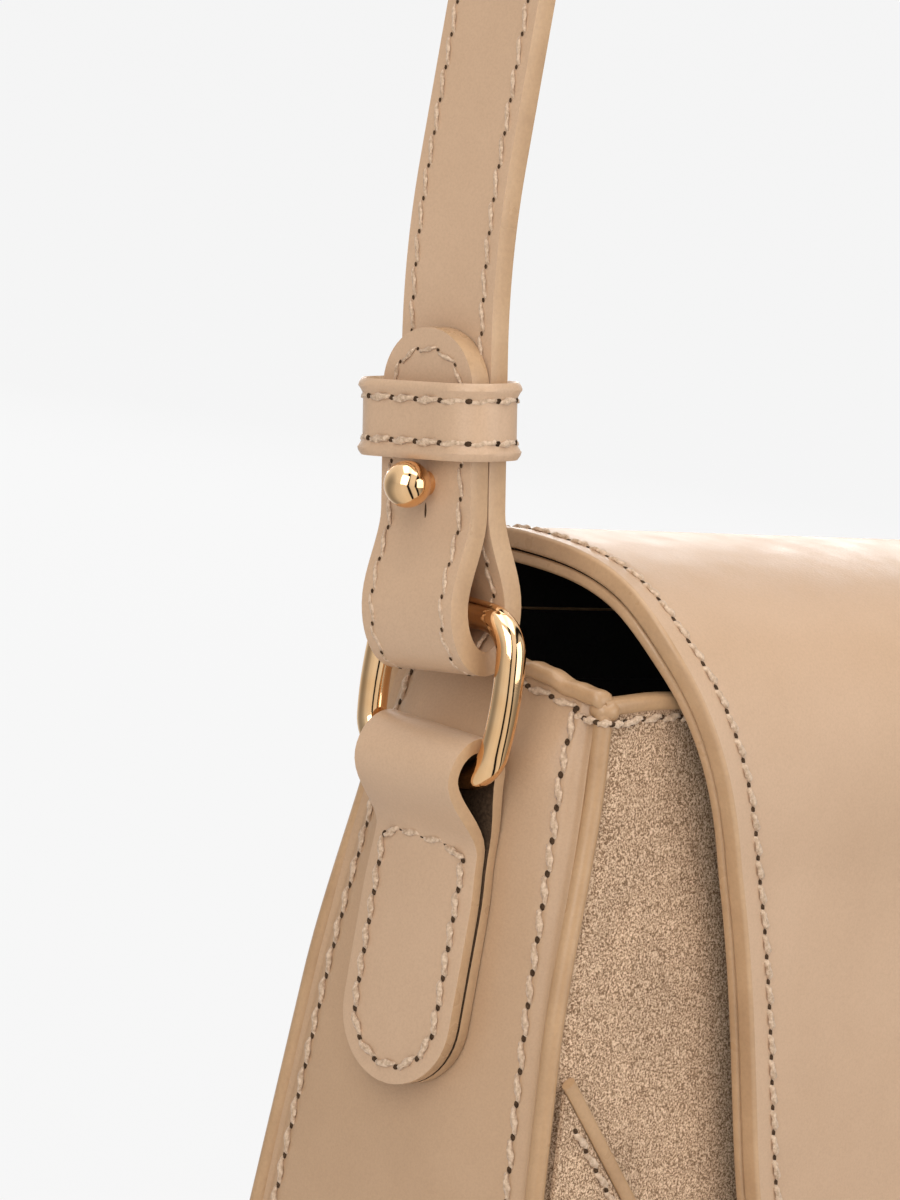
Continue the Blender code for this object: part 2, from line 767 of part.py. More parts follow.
def tab_half_width(z):
    if z < TAB_BOTTOM + TAB_END_HALF_WIDTH:
        drop = TAB_BOTTOM + TAB_END_HALF_WIDTH - z
        return math.sqrt(max(0.0, TAB_END_HALF_WIDTH**2 - drop * drop))
    widen = smooth((BAR_HEIGHT - z) / TAB_MERGE)
    waist = math.exp(-((z - BAR_HEIGHT + TAB_MERGE) / TAB_NECK) ** 2)
    return TAB_HALF_WIDTH + (TAB_END_HALF_WIDTH - TAB_HALF_WIDTH) * widen - TAB_WAIST * waist


def make_tab(side, name):
    track = tab_track()
    rest = gusset_face(0, BAR_HEIGHT)
    outer = []
    inner = []
    for i, (d, z) in enumerate(track):
        before = track[max(i - 1, 0)]
        after = track[min(i + 1, len(track) - 1)]
        along = Vector((after[0] - before[0], after[1] - before[1])).normalized()
        normal = Vector((-along.y, along.x))
        follow = smooth((BAR_HEIGHT - z) / TAB_MERGE)
        row_out = []
        row_in = []
        for c in spread(9):
            y = (2 * c - 1) * tab_half_width(z)
            face = rest + (gusset_face(y, z) - rest) * follow
            for row, lift in ((row_out, TAB_THICKNESS / 2), (row_in, -TAB_THICKNESS / 2)):
                x = -face - (d + normal.x * lift)
                row.append(Vector((x, y, z + normal.y * lift)))
        outer.append(mirrored(row_out, side))
        inner.append(mirrored(row_in, side))
    return slab(name, outer, inner, LEATHER_FINISH)


# Strap.  The left half is laid out from the tip of the tongue to the crown and then mirrored.

STRAP_UP = Vector((math.tan(STRAP_INWARD), math.tan(STRAP_BACK), 1)).normalized()
STRAP_CROWN_HEIGHT = FRONT_HEIGHT + STRAP_RISE
UPPER_UP = Vector((math.tan(STRAP_UPPER_INWARD), math.tan(STRAP_UPPER_BACK), 1)).normalized()
STRAP_ACROSS = (Vector((0, -1, 0)) + STRAP_UP * STRAP_UP.y).normalized()
STRAP_OUT = STRAP_ACROSS.cross(STRAP_UP).normalized()
STRAP_ORIGIN = Vector((-RING_X - STRAP_OUTSET, STRAP_SHIFT, TOP_BAR_HEIGHT))
LAYER_OFFSET = (STRAP_THICKNESS + GAP) / 2


def strap_point(out, up, across=0.0):
    return STRAP_ORIGIN + STRAP_OUT * out + STRAP_UP * up + STRAP_ACROSS * across


def loop_half_gap(up):
    """How far the middle of each layer lies from the middle of the fold at a height."""
    if up >= 0:
        return LAYER_OFFSET + (LOOP_HALF_GAP - LAYER_OFFSET) * (1 - smooth(up / LOOP_CLOSE))
    return LOOP_HALF_GAP * math.sqrt(max(0.0, 1 - (up / LOOP_DROP) ** 2))


def strap_half_track():
    """Entries of centre, across direction and half width share along the left half."""
    track = []
    for share in (0.02, 0.08, 0.18, 0.32, 0.5, 0.72, 1.0):
        up = TONGUE_LENGTH - STRAP_WIDTH / 2 * share
        drop = 1 - share
        wide = math.sqrt(max(0.0, 1 - drop * drop))
        track.append((strap_point(LAYER_OFFSET, up), STRAP_ACROSS, wide))
    shoulder = TONGUE_LENGTH - STRAP_WIDTH / 2
    for t in spread(4)[1:]:
        up = shoulder + (LOOP_CLOSE - shoulder) * t
        track.append((strap_point(LAYER_OFFSET, up), STRAP_ACROSS, 1.0))
    for t in (0.8, 0.6, 0.4, 0.2, 0.0):
        up = LOOP_CLOSE * t
        track.append((strap_point(loop_half_gap(up), up), STRAP_ACROSS, 1.0))
    for k in range(1, 12):
        angle = math.pi * k / 12
        out = LOOP_HALF_GAP * math.cos(angle)
        track.append((strap_point(out, -LOOP_DROP * math.sin(angle)), STRAP_ACROSS, 1.0))
    for t in (0.0, 0.2, 0.4, 0.6, 0.8, 1.0):
        up = LOOP_CLOSE * t
        track.append((strap_point(-loop_half_gap(up), up), STRAP_ACROSS, 1.0))
    for t in spread(4)[1:]:
        up = LOOP_CLOSE + (STRAP_STRAIGHT - LOOP_CLOSE) * t
        track.append((strap_point(-LAYER_OFFSET, up), STRAP_ACROSS, 1.0))
    start = strap_point(-LAYER_OFFSET, STRAP_STRAIGHT)
    bend = start + STRAP_UP * STRAP_TURN
    turned_end = bend + UPPER_UP * STRAP_TURN
    for t in spread(5)[1:]:
        s = 1 - t
        point = start * s * s + bend * 2 * s * t + turned_end * t * t
        track.append((point, STRAP_ACROSS, 1.0))
    rise = turned_end + UPPER_UP * STRAP_RISE_HANDLE
    before = Vector((-STRAP_CROWN_HANDLE, STRAP_CROWN_Y, STRAP_CROWN_HEIGHT))
    crown = Vector((0, STRAP_CROWN_Y, STRAP_CROWN_HEIGHT))
    for t in spread(17)[1:]:
        across = STRAP_ACROSS.lerp(Vector((0, -1, 0)), smooth(t))
        track.append((bezier(turned_end, rise, before, crown, t), across, 1.0))
    return track


def strap_sections():
    half = strap_half_track()
    other = [(Vector((-c.x, c.y, c.z)), Vector((-a.x, a.y, a.z)), w)
             for c, a, w in reversed(half[:-1])]
    track = half + other
    sections = []
    for i, (centre, across, wide) in enumerate(track):
        before = track[max(i - 1, 0)][0]
        after = track[min(i + 1, len(track) - 1)][0]
        along = (after - before).normalized()
        side = (across - along * across.dot(along)).normalized()
        normal = side.cross(along).normalized()
        sections.append(rounded_box_section(centre, side, normal, STRAP_WIDTH / 2 * wide,
                                            STRAP_THICKNESS / 2, STRAP_EDGE * wide))
    return sections


def cut_holes(obj, cutters):
    for cutter in cutters:
        cutter.hide_render = True
        cutter.display_type = "WIRE"
        step = obj.modifiers.new("stud hole", "BOOLEAN")
        step.operation = "DIFFERENCE"
        step.solver = "EXACT"
        step.object = cutter


def strap_axis(side):
    up = Vector((STRAP_UP.x * -side, STRAP_UP.y, STRAP_UP.z))
    out = Vector((STRAP_OUT.x * -side, STRAP_OUT.y, STRAP_OUT.z))
    return up, out


def stud_base(side):
    return mirrored([strap_point(0, STUD_HEIGHT)], side)[0]


def make_strap():
    strap = loft("shoulder_strap", strap_sections(), LEATHER_FINISH)
    cutters = []
    for side in (-1, 1):
        out = strap_axis(side)[1]
        base = stud_base(side)
        wide = ((0, -GAP / 2), (STUD_HOLE_RADIUS, -GAP / 2),
                (STUD_HOLE_RADIUS, STRAP_THICKNESS + CUT_OVERRUN),
                (0, STRAP_THICKNESS + CUT_OVERRUN))
        narrow_radius = SCREW_SHANK_RADIUS + GAP
        narrow = ((0, -STRAP_THICKNESS - CUT_OVERRUN), (narrow_radius, -STRAP_THICKNESS - CUT_OVERRUN),
                  (narrow_radius, GAP / 2), (0, GAP / 2))
        label = "left" if side < 0 else "right"
        cutters.append(turned("stud_hole_" + label, wide, base, out, LEATHER_FINISH, 14))
        cutters.append(turned("screw_hole_" + label, narrow, base, out, LEATHER_FINISH, 10))
    cut_holes(strap, cutters)
    return strap


def make_stud(side, name):
    """Ball on a neck that stands on the under layer and comes out through the tongue."""
    out = strap_axis(side)[1]
    foot = GAP / 2
    surface = LAYER_OFFSET + STRAP_THICKNESS / 2
    ball = surface + STUD_NECK_LENGTH + STUD_BALL_RADIUS * 0.82
    start = math.asin(STUD_NECK_RADIUS / STUD_BALL_RADIUS)
    profile = [(0, foot), (STUD_NECK_RADIUS, foot)]
    for k in range(9):
        angle = start + (math.pi - start) * k / 9
        profile.append((STUD_BALL_RADIUS * math.sin(angle), ball - STUD_BALL_RADIUS * math.cos(angle)))
    profile.append((0, ball + STUD_BALL_RADIUS))
    return turned(name, profile, stud_base(side), out, GOLD_FINISH, 18)


def make_stud_screw(side, name):
    """Flat head behind the under layer, with its shank reaching up to the stud's foot."""
    out = strap_axis(side)[1]
    back = -LAYER_OFFSET - STRAP_THICKNESS / 2 - GAP
    edge = SCREW_HEAD_THICKNESS / 3
    profile = ((0, back - SCREW_HEAD_THICKNESS), (SCREW_HEAD_RADIUS - edge, back - SCREW_HEAD_THICKNESS),
               (SCREW_HEAD_RADIUS, back - SCREW_HEAD_THICKNESS + edge), (SCREW_HEAD_RADIUS, back),
               (SCREW_SHANK_RADIUS, back), (SCREW_SHANK_RADIUS, -GAP / 2), (0, -GAP / 2))
    return turned(name, profile, stud_base(side), out, GOLD_FINISH, 18)


def keeper_loop(half_across, half_out, corner):
    points = []
    for sx, sy, start in ((1, 1, 0.0), (-1, 1, 0.5), (-1, -1, 1.0), (1, -1, 1.5)):
        for k in range(4):
            angle = math.pi * (start + k / 6)
            points.append((sx * (half_across - corner) + corner * math.cos(angle),
                           sy * (half_out - corner) + corner * math.sin(angle)))
    return points


def make_keeper(side, name):
    half_across = STRAP_WIDTH / 2 + KEEPER_PLAY
    half_out = LAYER_OFFSET + STRAP_THICKNESS / 2 + KEEPER_PLAY
    inner = keeper_loop(half_across, half_out, STRAP_EDGE)
    outer = keeper_loop(half_across + KEEPER_WALL, half_out + KEEPER_WALL, KEEPER_CORNER)
    low = KEEPER_START
    high = KEEPER_START + KEEPER_HEIGHT
    sections = []
    for i in range(len(inner)):
        corners = ((inner[i], low), (outer[i], low), (outer[i], high), (inner[i], high))
        section = [strap_point(p[1], up, p[0]) for p, up in corners]
        sections.append(mirrored(section, side))
    return loft(name, sections, LEATHER_FINISH, ring=True)


def set_origin(obj, point):
    """Moves a piece's origin onto its joint without moving the piece."""
    obj.data.transform(Matrix.Translation(-point))
    obj.location = point


def main():
    clear_scene()
    make_front_panel()
    make_back_panel()
    make_base_panel()
    make_base_board()
    make_lining()
    make_seam_roll("front_seam_roll", True, FRONT_HEIGHT)
    make_seam_roll("back_seam_roll", False, BACK_HEIGHT)
    make_front_binding()
    hinge = Vector((0, half_depth(BACK_HEIGHT) + GAP + FLAP_OUTER, HINGE_HEIGHT))
    top_bar = Vector((-RING_X, 0, TOP_BAR_HEIGHT))
    for side, label in ((-1, "left"), (1, "right")):
        make_gusset(side, "gusset_" + label)
        make_gusset_binding(side, "gusset_top_binding_" + label)
        make_corner_overlay(side, "front_corner_" + label)
        make_diagonal_binding(side, "diagonal_binding_" + label)
        make_tab(side, "side_tab_" + label)
        set_origin(make_ring(side, "ring_" + label), Vector((RING_X * side, 0, BAR_HEIGHT)))
        slide = mirrored([strap_point(0, KEEPER_START)], side)[0]
        set_origin(make_keeper(side, "keeper_" + label), slide)
        set_origin(make_stud(side, "ball_stud_" + label), top_bar)
        set_origin(make_stud_screw(side, "stud_screw_" + label), top_bar)
    set_origin(flap_layer("flap_outer", GAP / 2, GAP / 2 + FLAP_OUTER, 0.0, LEATHER_FINISH), hinge)
    lining = flap_layer("flap_lining", -GAP / 2 - FLAP_LINING, -GAP / 2, FLAP_LINING_INSET,
                        EDGE_FINISH)
    set_origin(lining, hinge)
    make_flap_tail()
    make_magnet("magnet_front", False)
    set_origin(make_magnet("magnet_flap", True), hinge)
    set_origin(make_strap(), top_bar)


main()
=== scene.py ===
import math

import bpy
import numpy as np
from mathutils import Matrix, Vector


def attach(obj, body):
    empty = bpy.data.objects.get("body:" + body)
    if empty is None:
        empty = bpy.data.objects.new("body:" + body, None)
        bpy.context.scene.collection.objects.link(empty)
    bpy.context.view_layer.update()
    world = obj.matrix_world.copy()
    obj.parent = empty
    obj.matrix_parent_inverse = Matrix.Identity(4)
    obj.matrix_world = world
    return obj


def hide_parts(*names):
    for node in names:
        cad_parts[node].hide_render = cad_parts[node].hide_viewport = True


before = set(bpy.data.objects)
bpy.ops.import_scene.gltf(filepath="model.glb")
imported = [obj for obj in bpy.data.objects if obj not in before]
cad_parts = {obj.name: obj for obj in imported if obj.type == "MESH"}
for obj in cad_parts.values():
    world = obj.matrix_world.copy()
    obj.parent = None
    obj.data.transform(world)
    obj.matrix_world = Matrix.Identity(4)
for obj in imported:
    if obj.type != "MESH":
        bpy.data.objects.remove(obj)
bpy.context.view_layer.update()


def smooth(t):
    t = min(max(t, 0.0), 1.0)
    return t * t * (3 - 2 * t)


def steps(start, end, count):
    return [start + (end - start) * k / (count - 1) for k in range(count)]


def cubic(p0, p1, p2, p3, t):
    s = 1 - t
    return p0 * s ** 3 + p1 * 3 * s * s * t + p2 * 3 * s * t * t + p3 * t ** 3


def runAlong(points):  # how far each point lies from the first one, along the line
    return np.concatenate(([0], np.cumsum(np.linalg.norm(np.diff(points, axis=0), axis=1))))


def roundedLoop(wide, high, corner, arcCount, runCount):  # a rectangle of these half sizes with round corners
    signs = ((1, 1), (-1, 1), (-1, -1), (1, -1))
    points = []
    for quarter, (sx, sy) in enumerate(signs):
        for t in steps(0, 1, arcCount):
            angle = math.pi / 2 * (quarter + t)
            points.append((sx * (wide - corner) + corner * math.cos(angle),
                           sy * (high - corner) + corner * math.sin(angle)))
        here = points[-1]
        nx, ny = signs[(quarter + 1) % 4]
        goal = (nx * (wide - corner) + corner * math.cos(math.pi / 2 * (quarter + 1)),
                ny * (high - corner) + corner * math.sin(math.pi / 2 * (quarter + 1)))
        points += [(here[0] + (goal[0] - here[0]) * t, here[1] + (goal[1] - here[1]) * t)
                   for t in steps(0, 1, runCount)[1:-1]]
    return points


def mirrorX(point):
    return Vector((-point.x, point.y, point.z))


def onSide(point, side):  # laid out on the left, side 1, and mirrored for the right
    return point if side == 1 else mirrorX(point)


def deselect():
    bpy.ops.object.select_all(action="DESELECT")


def makeActive(obj):
    deselect()
    obj.select_set(True)
    bpy.context.view_layer.objects.active = obj


def modify(obj, kind, **values):
    makeActive(obj)
    mod = obj.modifiers.new(kind.lower(), kind)
    for name, value in values.items():
        setattr(mod, name, value)
    bpy.ops.object.modifier_apply(modifier=mod.name)


def inEditMode(obj, *jobs):  # each job is an operator for the whole mesh and its settings
    makeActive(obj)
    bpy.ops.object.mode_set(mode="EDIT")
    bpy.ops.mesh.select_all(action="SELECT")
    for operator, settings in jobs:
        operator(**settings)
    bpy.ops.object.mode_set(mode="OBJECT")


joinDoubles = (bpy.ops.mesh.remove_doubles, {"threshold": 0.00001})
faceOutwards = (bpy.ops.mesh.normals_make_consistent, {"inside": False})


def mergeSeams(obj):
    inEditMode(obj, joinDoubles, faceOutwards)


def closeEnds(obj, sides=20):
    inEditMode(obj, (bpy.ops.mesh.fill_holes, {"sides": sides}), faceOutwards)


def gridPiece(name, us, vs, place, merge=False):  # one point for each u and v, put where place says
    deselect()
    bpy.ops.mesh.primitive_grid_add(x_subdivisions=len(us) - 1, y_subdivisions=len(vs) - 1, size=1)
    obj = bpy.context.object
    obj.name = obj.data.name = name
    for vertex in obj.data.vertices:
        vertex.co = place(us[vertex.index % len(us)], vs[vertex.index // len(us)])
    if merge:
        mergeSeams(obj)
    return obj


def tubePiece(name, points, radius, closed=False, fineness=5):
    deselect()
    bpy.ops.curve.primitive_bezier_curve_add()
    obj = bpy.context.object
    obj.name = name
    curve = obj.data
    curve.splines.clear()
    line = curve.splines.new("POLY")
    line.points.add(len(points) - 1)
    for knot, point in zip(line.points, points):
        knot.co = (*point, 1)
    line.use_cyclic_u = closed
    curve.bevel_depth = radius
    curve.bevel_resolution = fineness
    curve.use_fill_caps = not closed
    bpy.ops.object.convert(target="MESH")
    obj = bpy.context.object
    obj.data.name = name
    return obj


def coat(obj, *materials):
    obj.data.materials.clear()
    for material in materials:
        obj.data.materials.append(material)


def leatherSheet(obj, thickness, edge, offset=-1, segments=3, inside=0):  # its cut edge takes the second coat
    modify(obj, "SOLIDIFY", thickness=thickness, offset=offset, use_even_offset=True,
           material_offset_rim=1, material_offset=inside)
    modify(obj, "BEVEL", width=edge, segments=segments, limit_method="ANGLE",
           angle_limit=math.radians(50), material=1)


def finish(obj, carrier, slot, *nodes, angle=40):
    makeActive(obj)
    bpy.ops.object.shade_smooth_by_angle(angle=math.radians(angle))
    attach(obj, carrier)
    if nodes:
        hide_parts(*nodes)


def newMaterial(name):
    material = bpy.data.materials.new(name)
    material.use_nodes = True
    tree = material.node_tree
    return material, tree, tree.nodes["Principled BSDF"]


def noiseNode(tree, scale, detail=4, rough=0.55, stretch=None):
    place = tree.nodes.new("ShaderNodeTexCoord")
    noise = tree.nodes.new("ShaderNodeTexNoise")
    noise.inputs["Scale"].default_value = scale
    noise.inputs["Detail"].default_value = detail
    noise.inputs["Roughness"].default_value = rough
    if stretch:
        mapping = tree.nodes.new("ShaderNodeMapping")
        mapping.inputs["Scale"].default_value = stretch
        tree.links.new(place.outputs["Object"], mapping.inputs["Vector"])
        tree.links.new(mapping.outputs["Vector"], noise.inputs["Vector"])
    else:
        tree.links.new(place.outputs["Object"], noise.inputs["Vector"])
    return noise.outputs["Fac"]


def cellNode(tree, scale, feature="F1"):
    place = tree.nodes.new("ShaderNodeTexCoord")
    cells = tree.nodes.new("ShaderNodeTexVoronoi")
    cells.feature = feature
    cells.inputs["Scale"].default_value = scale
    tree.links.new(place.outputs["Object"], cells.inputs["Vector"])
    return cells.outputs["Distance"]


def rampNode(tree, value, stops):
    ramp = tree.nodes.new("ShaderNodeValToRGB")
    tree.links.new(value, ramp.inputs["Fac"])
    first = ramp.color_ramp.elements
    first[0].position, first[0].color = stops[0][0], (*stops[0][1], 1)
    first[1].position, first[1].color = stops[-1][0], (*stops[-1][1], 1)
    for position, colour in stops[1:-1]:
        first.new(position).color = (*colour, 1)
    return ramp.outputs["Color"]


def multiplyNode(tree, one, two, amount=1.0):
    mix = tree.nodes.new("ShaderNodeMix")
    mix.data_type = "RGBA"
    mix.blend_type = "MULTIPLY"
    mix.inputs["Factor"].default_value = amount
    tree.links.new(one, mix.inputs["A"])
    tree.links.new(two, mix.inputs["B"])
    return mix.outputs["Result"]


def bumpNode(tree, height, strength, distance, before=None):
    bump = tree.nodes.new("ShaderNodeBump")
    bump.inputs["Strength"].default_value = strength
    bump.inputs["Distance"].default_value = distance
    tree.links.new(height, bump.inputs["Height"])
    if before:
        tree.links.new(before, bump.inputs["Normal"])
    return bump.outputs["Normal"]


def grey(value):
    return (value, value, value)


leatherLook = {"deep": (0.518, 0.343, 0.218), "main": (0.550, 0.367, 0.236), "pale": (0.580, 0.392, 0.257),
               "cloudScale": 22, "poreScale": 2600, "wrinkleScale": 900, "rough": (0.34, 0.46)}


def leatherMaterial(name, look, grain=1.0):
    material, tree, shader = newMaterial(name)
    clouds = rampNode(tree, noiseNode(tree, look["cloudScale"], 5, 0.6),
                      [(0.30, look["deep"]), (0.52, look["main"]), (0.75, look["pale"])])
    specks = rampNode(tree, noiseNode(tree, look["poreScale"], 2, 0.7), [(0.30, grey(0.90)), (0.62, grey(1.0))])
    tree.links.new(multiplyNode(tree, clouds, specks, 0.8), shader.inputs["Base Color"])
    dull, duller = look["rough"]
    roughness = rampNode(tree, noiseNode(tree, 140, 3), [(0.3, grey(dull)), (0.7, grey(duller))])
    tree.links.new(roughness, shader.inputs["Roughness"])
    shader.inputs["Specular IOR Level"].default_value = 0.42
    cells = bumpNode(tree, cellNode(tree, look["wrinkleScale"], "DISTANCE_TO_EDGE"), 0.14 * grain, 0.0002)
    pores = bumpNode(tree, noiseNode(tree, look["poreScale"], 2, 0.6), 0.20 * grain, 0.00012, cells)
    folds = bumpNode(tree, noiseNode(tree, 60, 3, 0.5), 0.10 * grain, 0.002, pores)
    tree.links.new(folds, shader.inputs["Normal"])
    return material


edgeLook = {"deep": (0.425, 0.262, 0.145), "main": (0.505, 0.318, 0.178), "pale": (0.570, 0.372, 0.216),
            "cloudScale": 60, "poreScale": 1500, "wrinkleScale": 500, "rough": (0.26, 0.36)}
# the seam rolls, bindings, folded roll ends and the gussets' cut edges: darker, warmer leather, partly the rolls' own
# tone and partly painted shade across the tight rolls
rollShadeLook = dict(edgeLook, deep=(0.400, 0.238, 0.124), main=(0.468, 0.288, 0.154), pale=(0.530, 0.338, 0.188))
# the gussets' leather: the smooth leather painted darker and more saturated, as painted shade on the bag's sides
gussetShadeLook = dict(leatherLook, deep=(0.440, 0.280, 0.166), main=(0.475, 0.306, 0.184), pale=(0.508, 0.332, 0.204))
suedeLook = {"deep": (0.175, 0.098, 0.054), "main": (0.470, 0.303, 0.184), "pale": (0.790, 0.575, 0.398)}


def suedeMaterial():
    material, tree, shader = newMaterial("suedeNap")
    nap = rampNode(tree, noiseNode(tree, 2900, 5, 0.75),
                   [(0.425, suedeLook["deep"]), (0.50, suedeLook["main"]), (0.58, suedeLook["pale"])])
    patches = rampNode(tree, noiseNode(tree, 90, 4, 0.6), [(0.30, grey(0.82)), (0.70, grey(1.0))])
    tree.links.new(multiplyNode(tree, nap, patches, 0.9), shader.inputs["Base Color"])
    shader.inputs["Roughness"].default_value = 0.95
    shader.inputs["Specular IOR Level"].default_value = 0.15
    shader.inputs["Sheen Weight"].default_value = 0.15
    shader.inputs["Sheen Roughness"].default_value = 0.45
    shader.inputs["Sheen Tint"].default_value = (0.95, 0.72, 0.50, 1)
    coarse = bumpNode(tree, noiseNode(tree, 1700, 4, 0.7), 0.50, 0.0004)
    fine = bumpNode(tree, noiseNode(tree, 4200, 2, 0.6), 0.40, 0.0002, coarse)
    tree.links.new(fine, shader.inputs["Normal"])
    return material


def goldMaterial():
    material, tree, shader = newMaterial("paleGold")
    shader.inputs["Metallic"].default_value = 1.0
    tone = rampNode(tree, noiseNode(tree, 160, 2), [(0.35, (0.90, 0.56, 0.28)), (0.65, (0.95, 0.65, 0.37))])
    tree.links.new(tone, shader.inputs["Base Color"])
    polish = rampNode(tree, noiseNode(tree, 900, 3, 0.6, (1, 1, 6)), [(0.35, grey(0.04)), (0.75, grey(0.10))])
    tree.links.new(polish, shader.inputs["Roughness"])
    tree.links.new(bumpNode(tree, noiseNode(tree, 500, 2), 0.03, 0.0003), shader.inputs["Normal"])
    return material


def grainMaterial(name, tones, noise, sockets, bump=None):  # for small things with one grain
    material, tree, shader = newMaterial(name)
    tree.links.new(rampNode(tree, noiseNode(tree, *noise), tones), shader.inputs["Base Color"])
    for socket, value in sockets.items():
        shader.inputs[socket].default_value = value
    if bump:
        bumpNoise, strength, distance = bump
        tree.links.new(bumpNode(tree, noiseNode(tree, *bumpNoise), strength, distance), shader.inputs["Normal"])
    return material


# near-black cloth: partly the lining's own dark colour and partly painted shade deep inside the bag
def liningMaterial():
    material, tree, shader = newMaterial("darkLiningAndShade")
    weave = noiseNode(tree, 1500, 2, 0.5, (1, 0.25, 1))
    cross = noiseNode(tree, 1500, 2, 0.5, (0.25, 1, 0.25))
    tone = rampNode(tree, weave, [(0.3, (0.0040, 0.0034, 0.0030)), (0.7, (0.0100, 0.0090, 0.0080))])
    tree.links.new(tone, shader.inputs["Base Color"])
    shader.inputs["Roughness"].default_value = 0.85
    threads = bumpNode(tree, cross, 0.4, 0.0003, bumpNode(tree, weave, 0.4, 0.0003))
    tree.links.new(threads, shader.inputs["Normal"])
    return material


leather = leatherMaterial("smoothLeather", leatherLook)
paintedEdge = leatherMaterial("paintedEdge", edgeLook, 0.5)
rollLeatherAndShade = leatherMaterial("rollLeatherAndShade", rollShadeLook, 0.6)
shadedGussetLeather = leatherMaterial("shadedGussetLeather", gussetShadeLook)
suede = suedeMaterial()
gold = goldMaterial()
thread = grainMaterial("waxedThread", [(0.34, (0.40, 0.265, 0.165)), (0.66, (0.68, 0.50, 0.35))], (1800, 3, 0.6),
                       {"Roughness": 0.62, "Sheen Weight": 0.2}, ((5200, 2, 0.6), 0.5, 0.0001))
# near-black brown for the needle holes and the button slit: painted shade inside the holes
holeShade = grainMaterial("holeShade", [(0.3, (0.035, 0.020, 0.012)), (0.7, (0.095, 0.056, 0.032))], (2500, 2),
                           {"Roughness": 0.9, "Specular IOR Level": 0.05})
# near-black brown on the tab's inner faces between its two layers: painted shade in the gap round the ring's bar
tabShadeInside = grainMaterial("tabShadeInside", [(0.3, (0.035, 0.020, 0.012)), (0.7, (0.095, 0.058, 0.034))], (1900, 4, 0.7),
                        {"Roughness": 0.95, "Specular IOR Level": 0.1}, ((1900, 4, 0.7), 0.4, 0.0003))
darkLiningAndShade = liningMaterial()
board = grainMaterial("pressedBoard", [(0.3, (0.22, 0.17, 0.12)), (0.7, (0.34, 0.27, 0.20))], (700, 4, 0.7),
                      {"Roughness": 0.85}, ((1500, 3), 0.3, 0.0003))
print("materials ready")

view = {"azimuth": -48.36, "elevation": 7.80, "roll": 9.78, "distance": 0.90, "aim": (-0.10, 0.0, 0.13),
        "shiftRight": -0.0119, "shiftUp": 0.0062, "focal": 6014, "pictureHigh": 1200, "sensor": 24}


def addCamera():
    turn, tilt, roll = (math.radians(view[k]) for k in ("azimuth", "elevation", "roll"))
    back = Vector((math.sin(turn) * math.cos(tilt), -math.cos(turn) * math.cos(tilt), math.sin(tilt)))
    right = Vector((math.cos(turn), math.sin(turn), 0))
    up = back.cross(right)
    spot = Vector(view["aim"]) + right * view["shiftRight"] + up * view["shiftUp"] + back * view["distance"]
    across = right * math.cos(roll) + up * math.sin(roll)
    upright = up * math.cos(roll) - right * math.sin(roll)
    bpy.ops.object.camera_add(location=spot)
    camera = bpy.context.object
    camera.matrix_world = Matrix.Translation(spot) @ Matrix((across, upright, back)).transposed().to_4x4()
    camera.data.sensor_fit = "VERTICAL"
    camera.data.sensor_height = view["sensor"]
    camera.data.lens = view["focal"] / view["pictureHigh"] * view["sensor"]
    camera.data.clip_start = 0.01
    bpy.context.scene.camera = camera


addCamera()

lamps = [  # name, place, aim, width, height, watts, colour
    ("overheadSoftbox", (-0.10, -0.10, 1.25), (0.0, 0.0, 0.10), 1.2, 1.0, 8.6, (1.0, 0.985, 0.96)),
    ("leftSoftbox", (-1.30, -0.55, 0.75), (-0.10, 0.0, 0.15), 0.9, 1.2, 12.0, (1.0, 0.99, 0.975)),
    ("frontFill", (0.45, -1.40, 0.55), (0.0, 0.0, 0.12), 1.2, 1.0, 8.2, (0.985, 0.99, 1.0)),
    ("backRim", (0.75, 1.00, 0.42), (0.0, 0.0, 0.14), 1.1, 0.45, 6.0, (1.0, 0.99, 0.98)),  # sheen on the flap's top
]


def addLamps():
    for name, place, aim, width, height, watts, colour in lamps:
        bpy.ops.object.light_add(type="AREA", location=place)
        lamp = bpy.context.object
        lamp.name = name
        lamp.rotation_euler = (Vector(aim) - Vector(place)).to_track_quat("-Z", "Y").to_euler()
        lamp.data.shape = "RECTANGLE"
        lamp.data.size, lamp.data.size_y = width, height
        lamp.data.energy = watts
        lamp.data.color = colour


studio = {"backdrop": (0.93, 0.93, 0.93, 1), "ambient": 0.36, "floor": (0.80, 0.80, 0.80, 1), "floorSize": 40,
          "floorShown": 0.97}  # the rest of the floor still takes the bag's shadow
room = {"side": (0.665, -0.747, 0.0),
        "across": [(0.00, grey(0.35)), (0.10, grey(0.80)), (0.30, grey(1.0)), (0.46, grey(0.95)),
                   (0.49, grey(0.01)), (0.56, grey(0.01)), (0.60, grey(0.9)), (0.78, grey(1.0)),
                   (0.81, grey(0.01)), (0.86, grey(0.01)), (0.90, grey(0.70)), (1.00, grey(0.30))],
        "up": [(0.0, grey(0.60)), (0.46, grey(0.75)), (0.54, grey(0.90)), (0.70, grey(1.0)), (1.0, grey(0.95))]}


def roomReflection(tree, coordinate):  # white panels with black gaps between them, for the metal to mirror
    place = tree.nodes.new("ShaderNodeTexCoord")
    way = tree.nodes.new("ShaderNodeVectorMath")
    way.operation = "NORMALIZE"
    tree.links.new(place.outputs[coordinate], way.inputs[0])
    bands = []
    for axis, stops in ((room["side"], room["across"]), ((0, 0, 1), room["up"])):
        reach = tree.nodes.new("ShaderNodeVectorMath")
        reach.operation = "DOT_PRODUCT"
        reach.inputs[1].default_value = axis
        tree.links.new(way.outputs[0], reach.inputs[0])
        share = tree.nodes.new("ShaderNodeMath")
        share.operation = "MULTIPLY_ADD"
        share.inputs[1].default_value = 0.5
        share.inputs[2].default_value = 0.5
        tree.links.new(reach.outputs["Value"], share.inputs[0])
        bands.append(rampNode(tree, share.outputs[0], stops))
    return multiplyNode(tree, *bands)


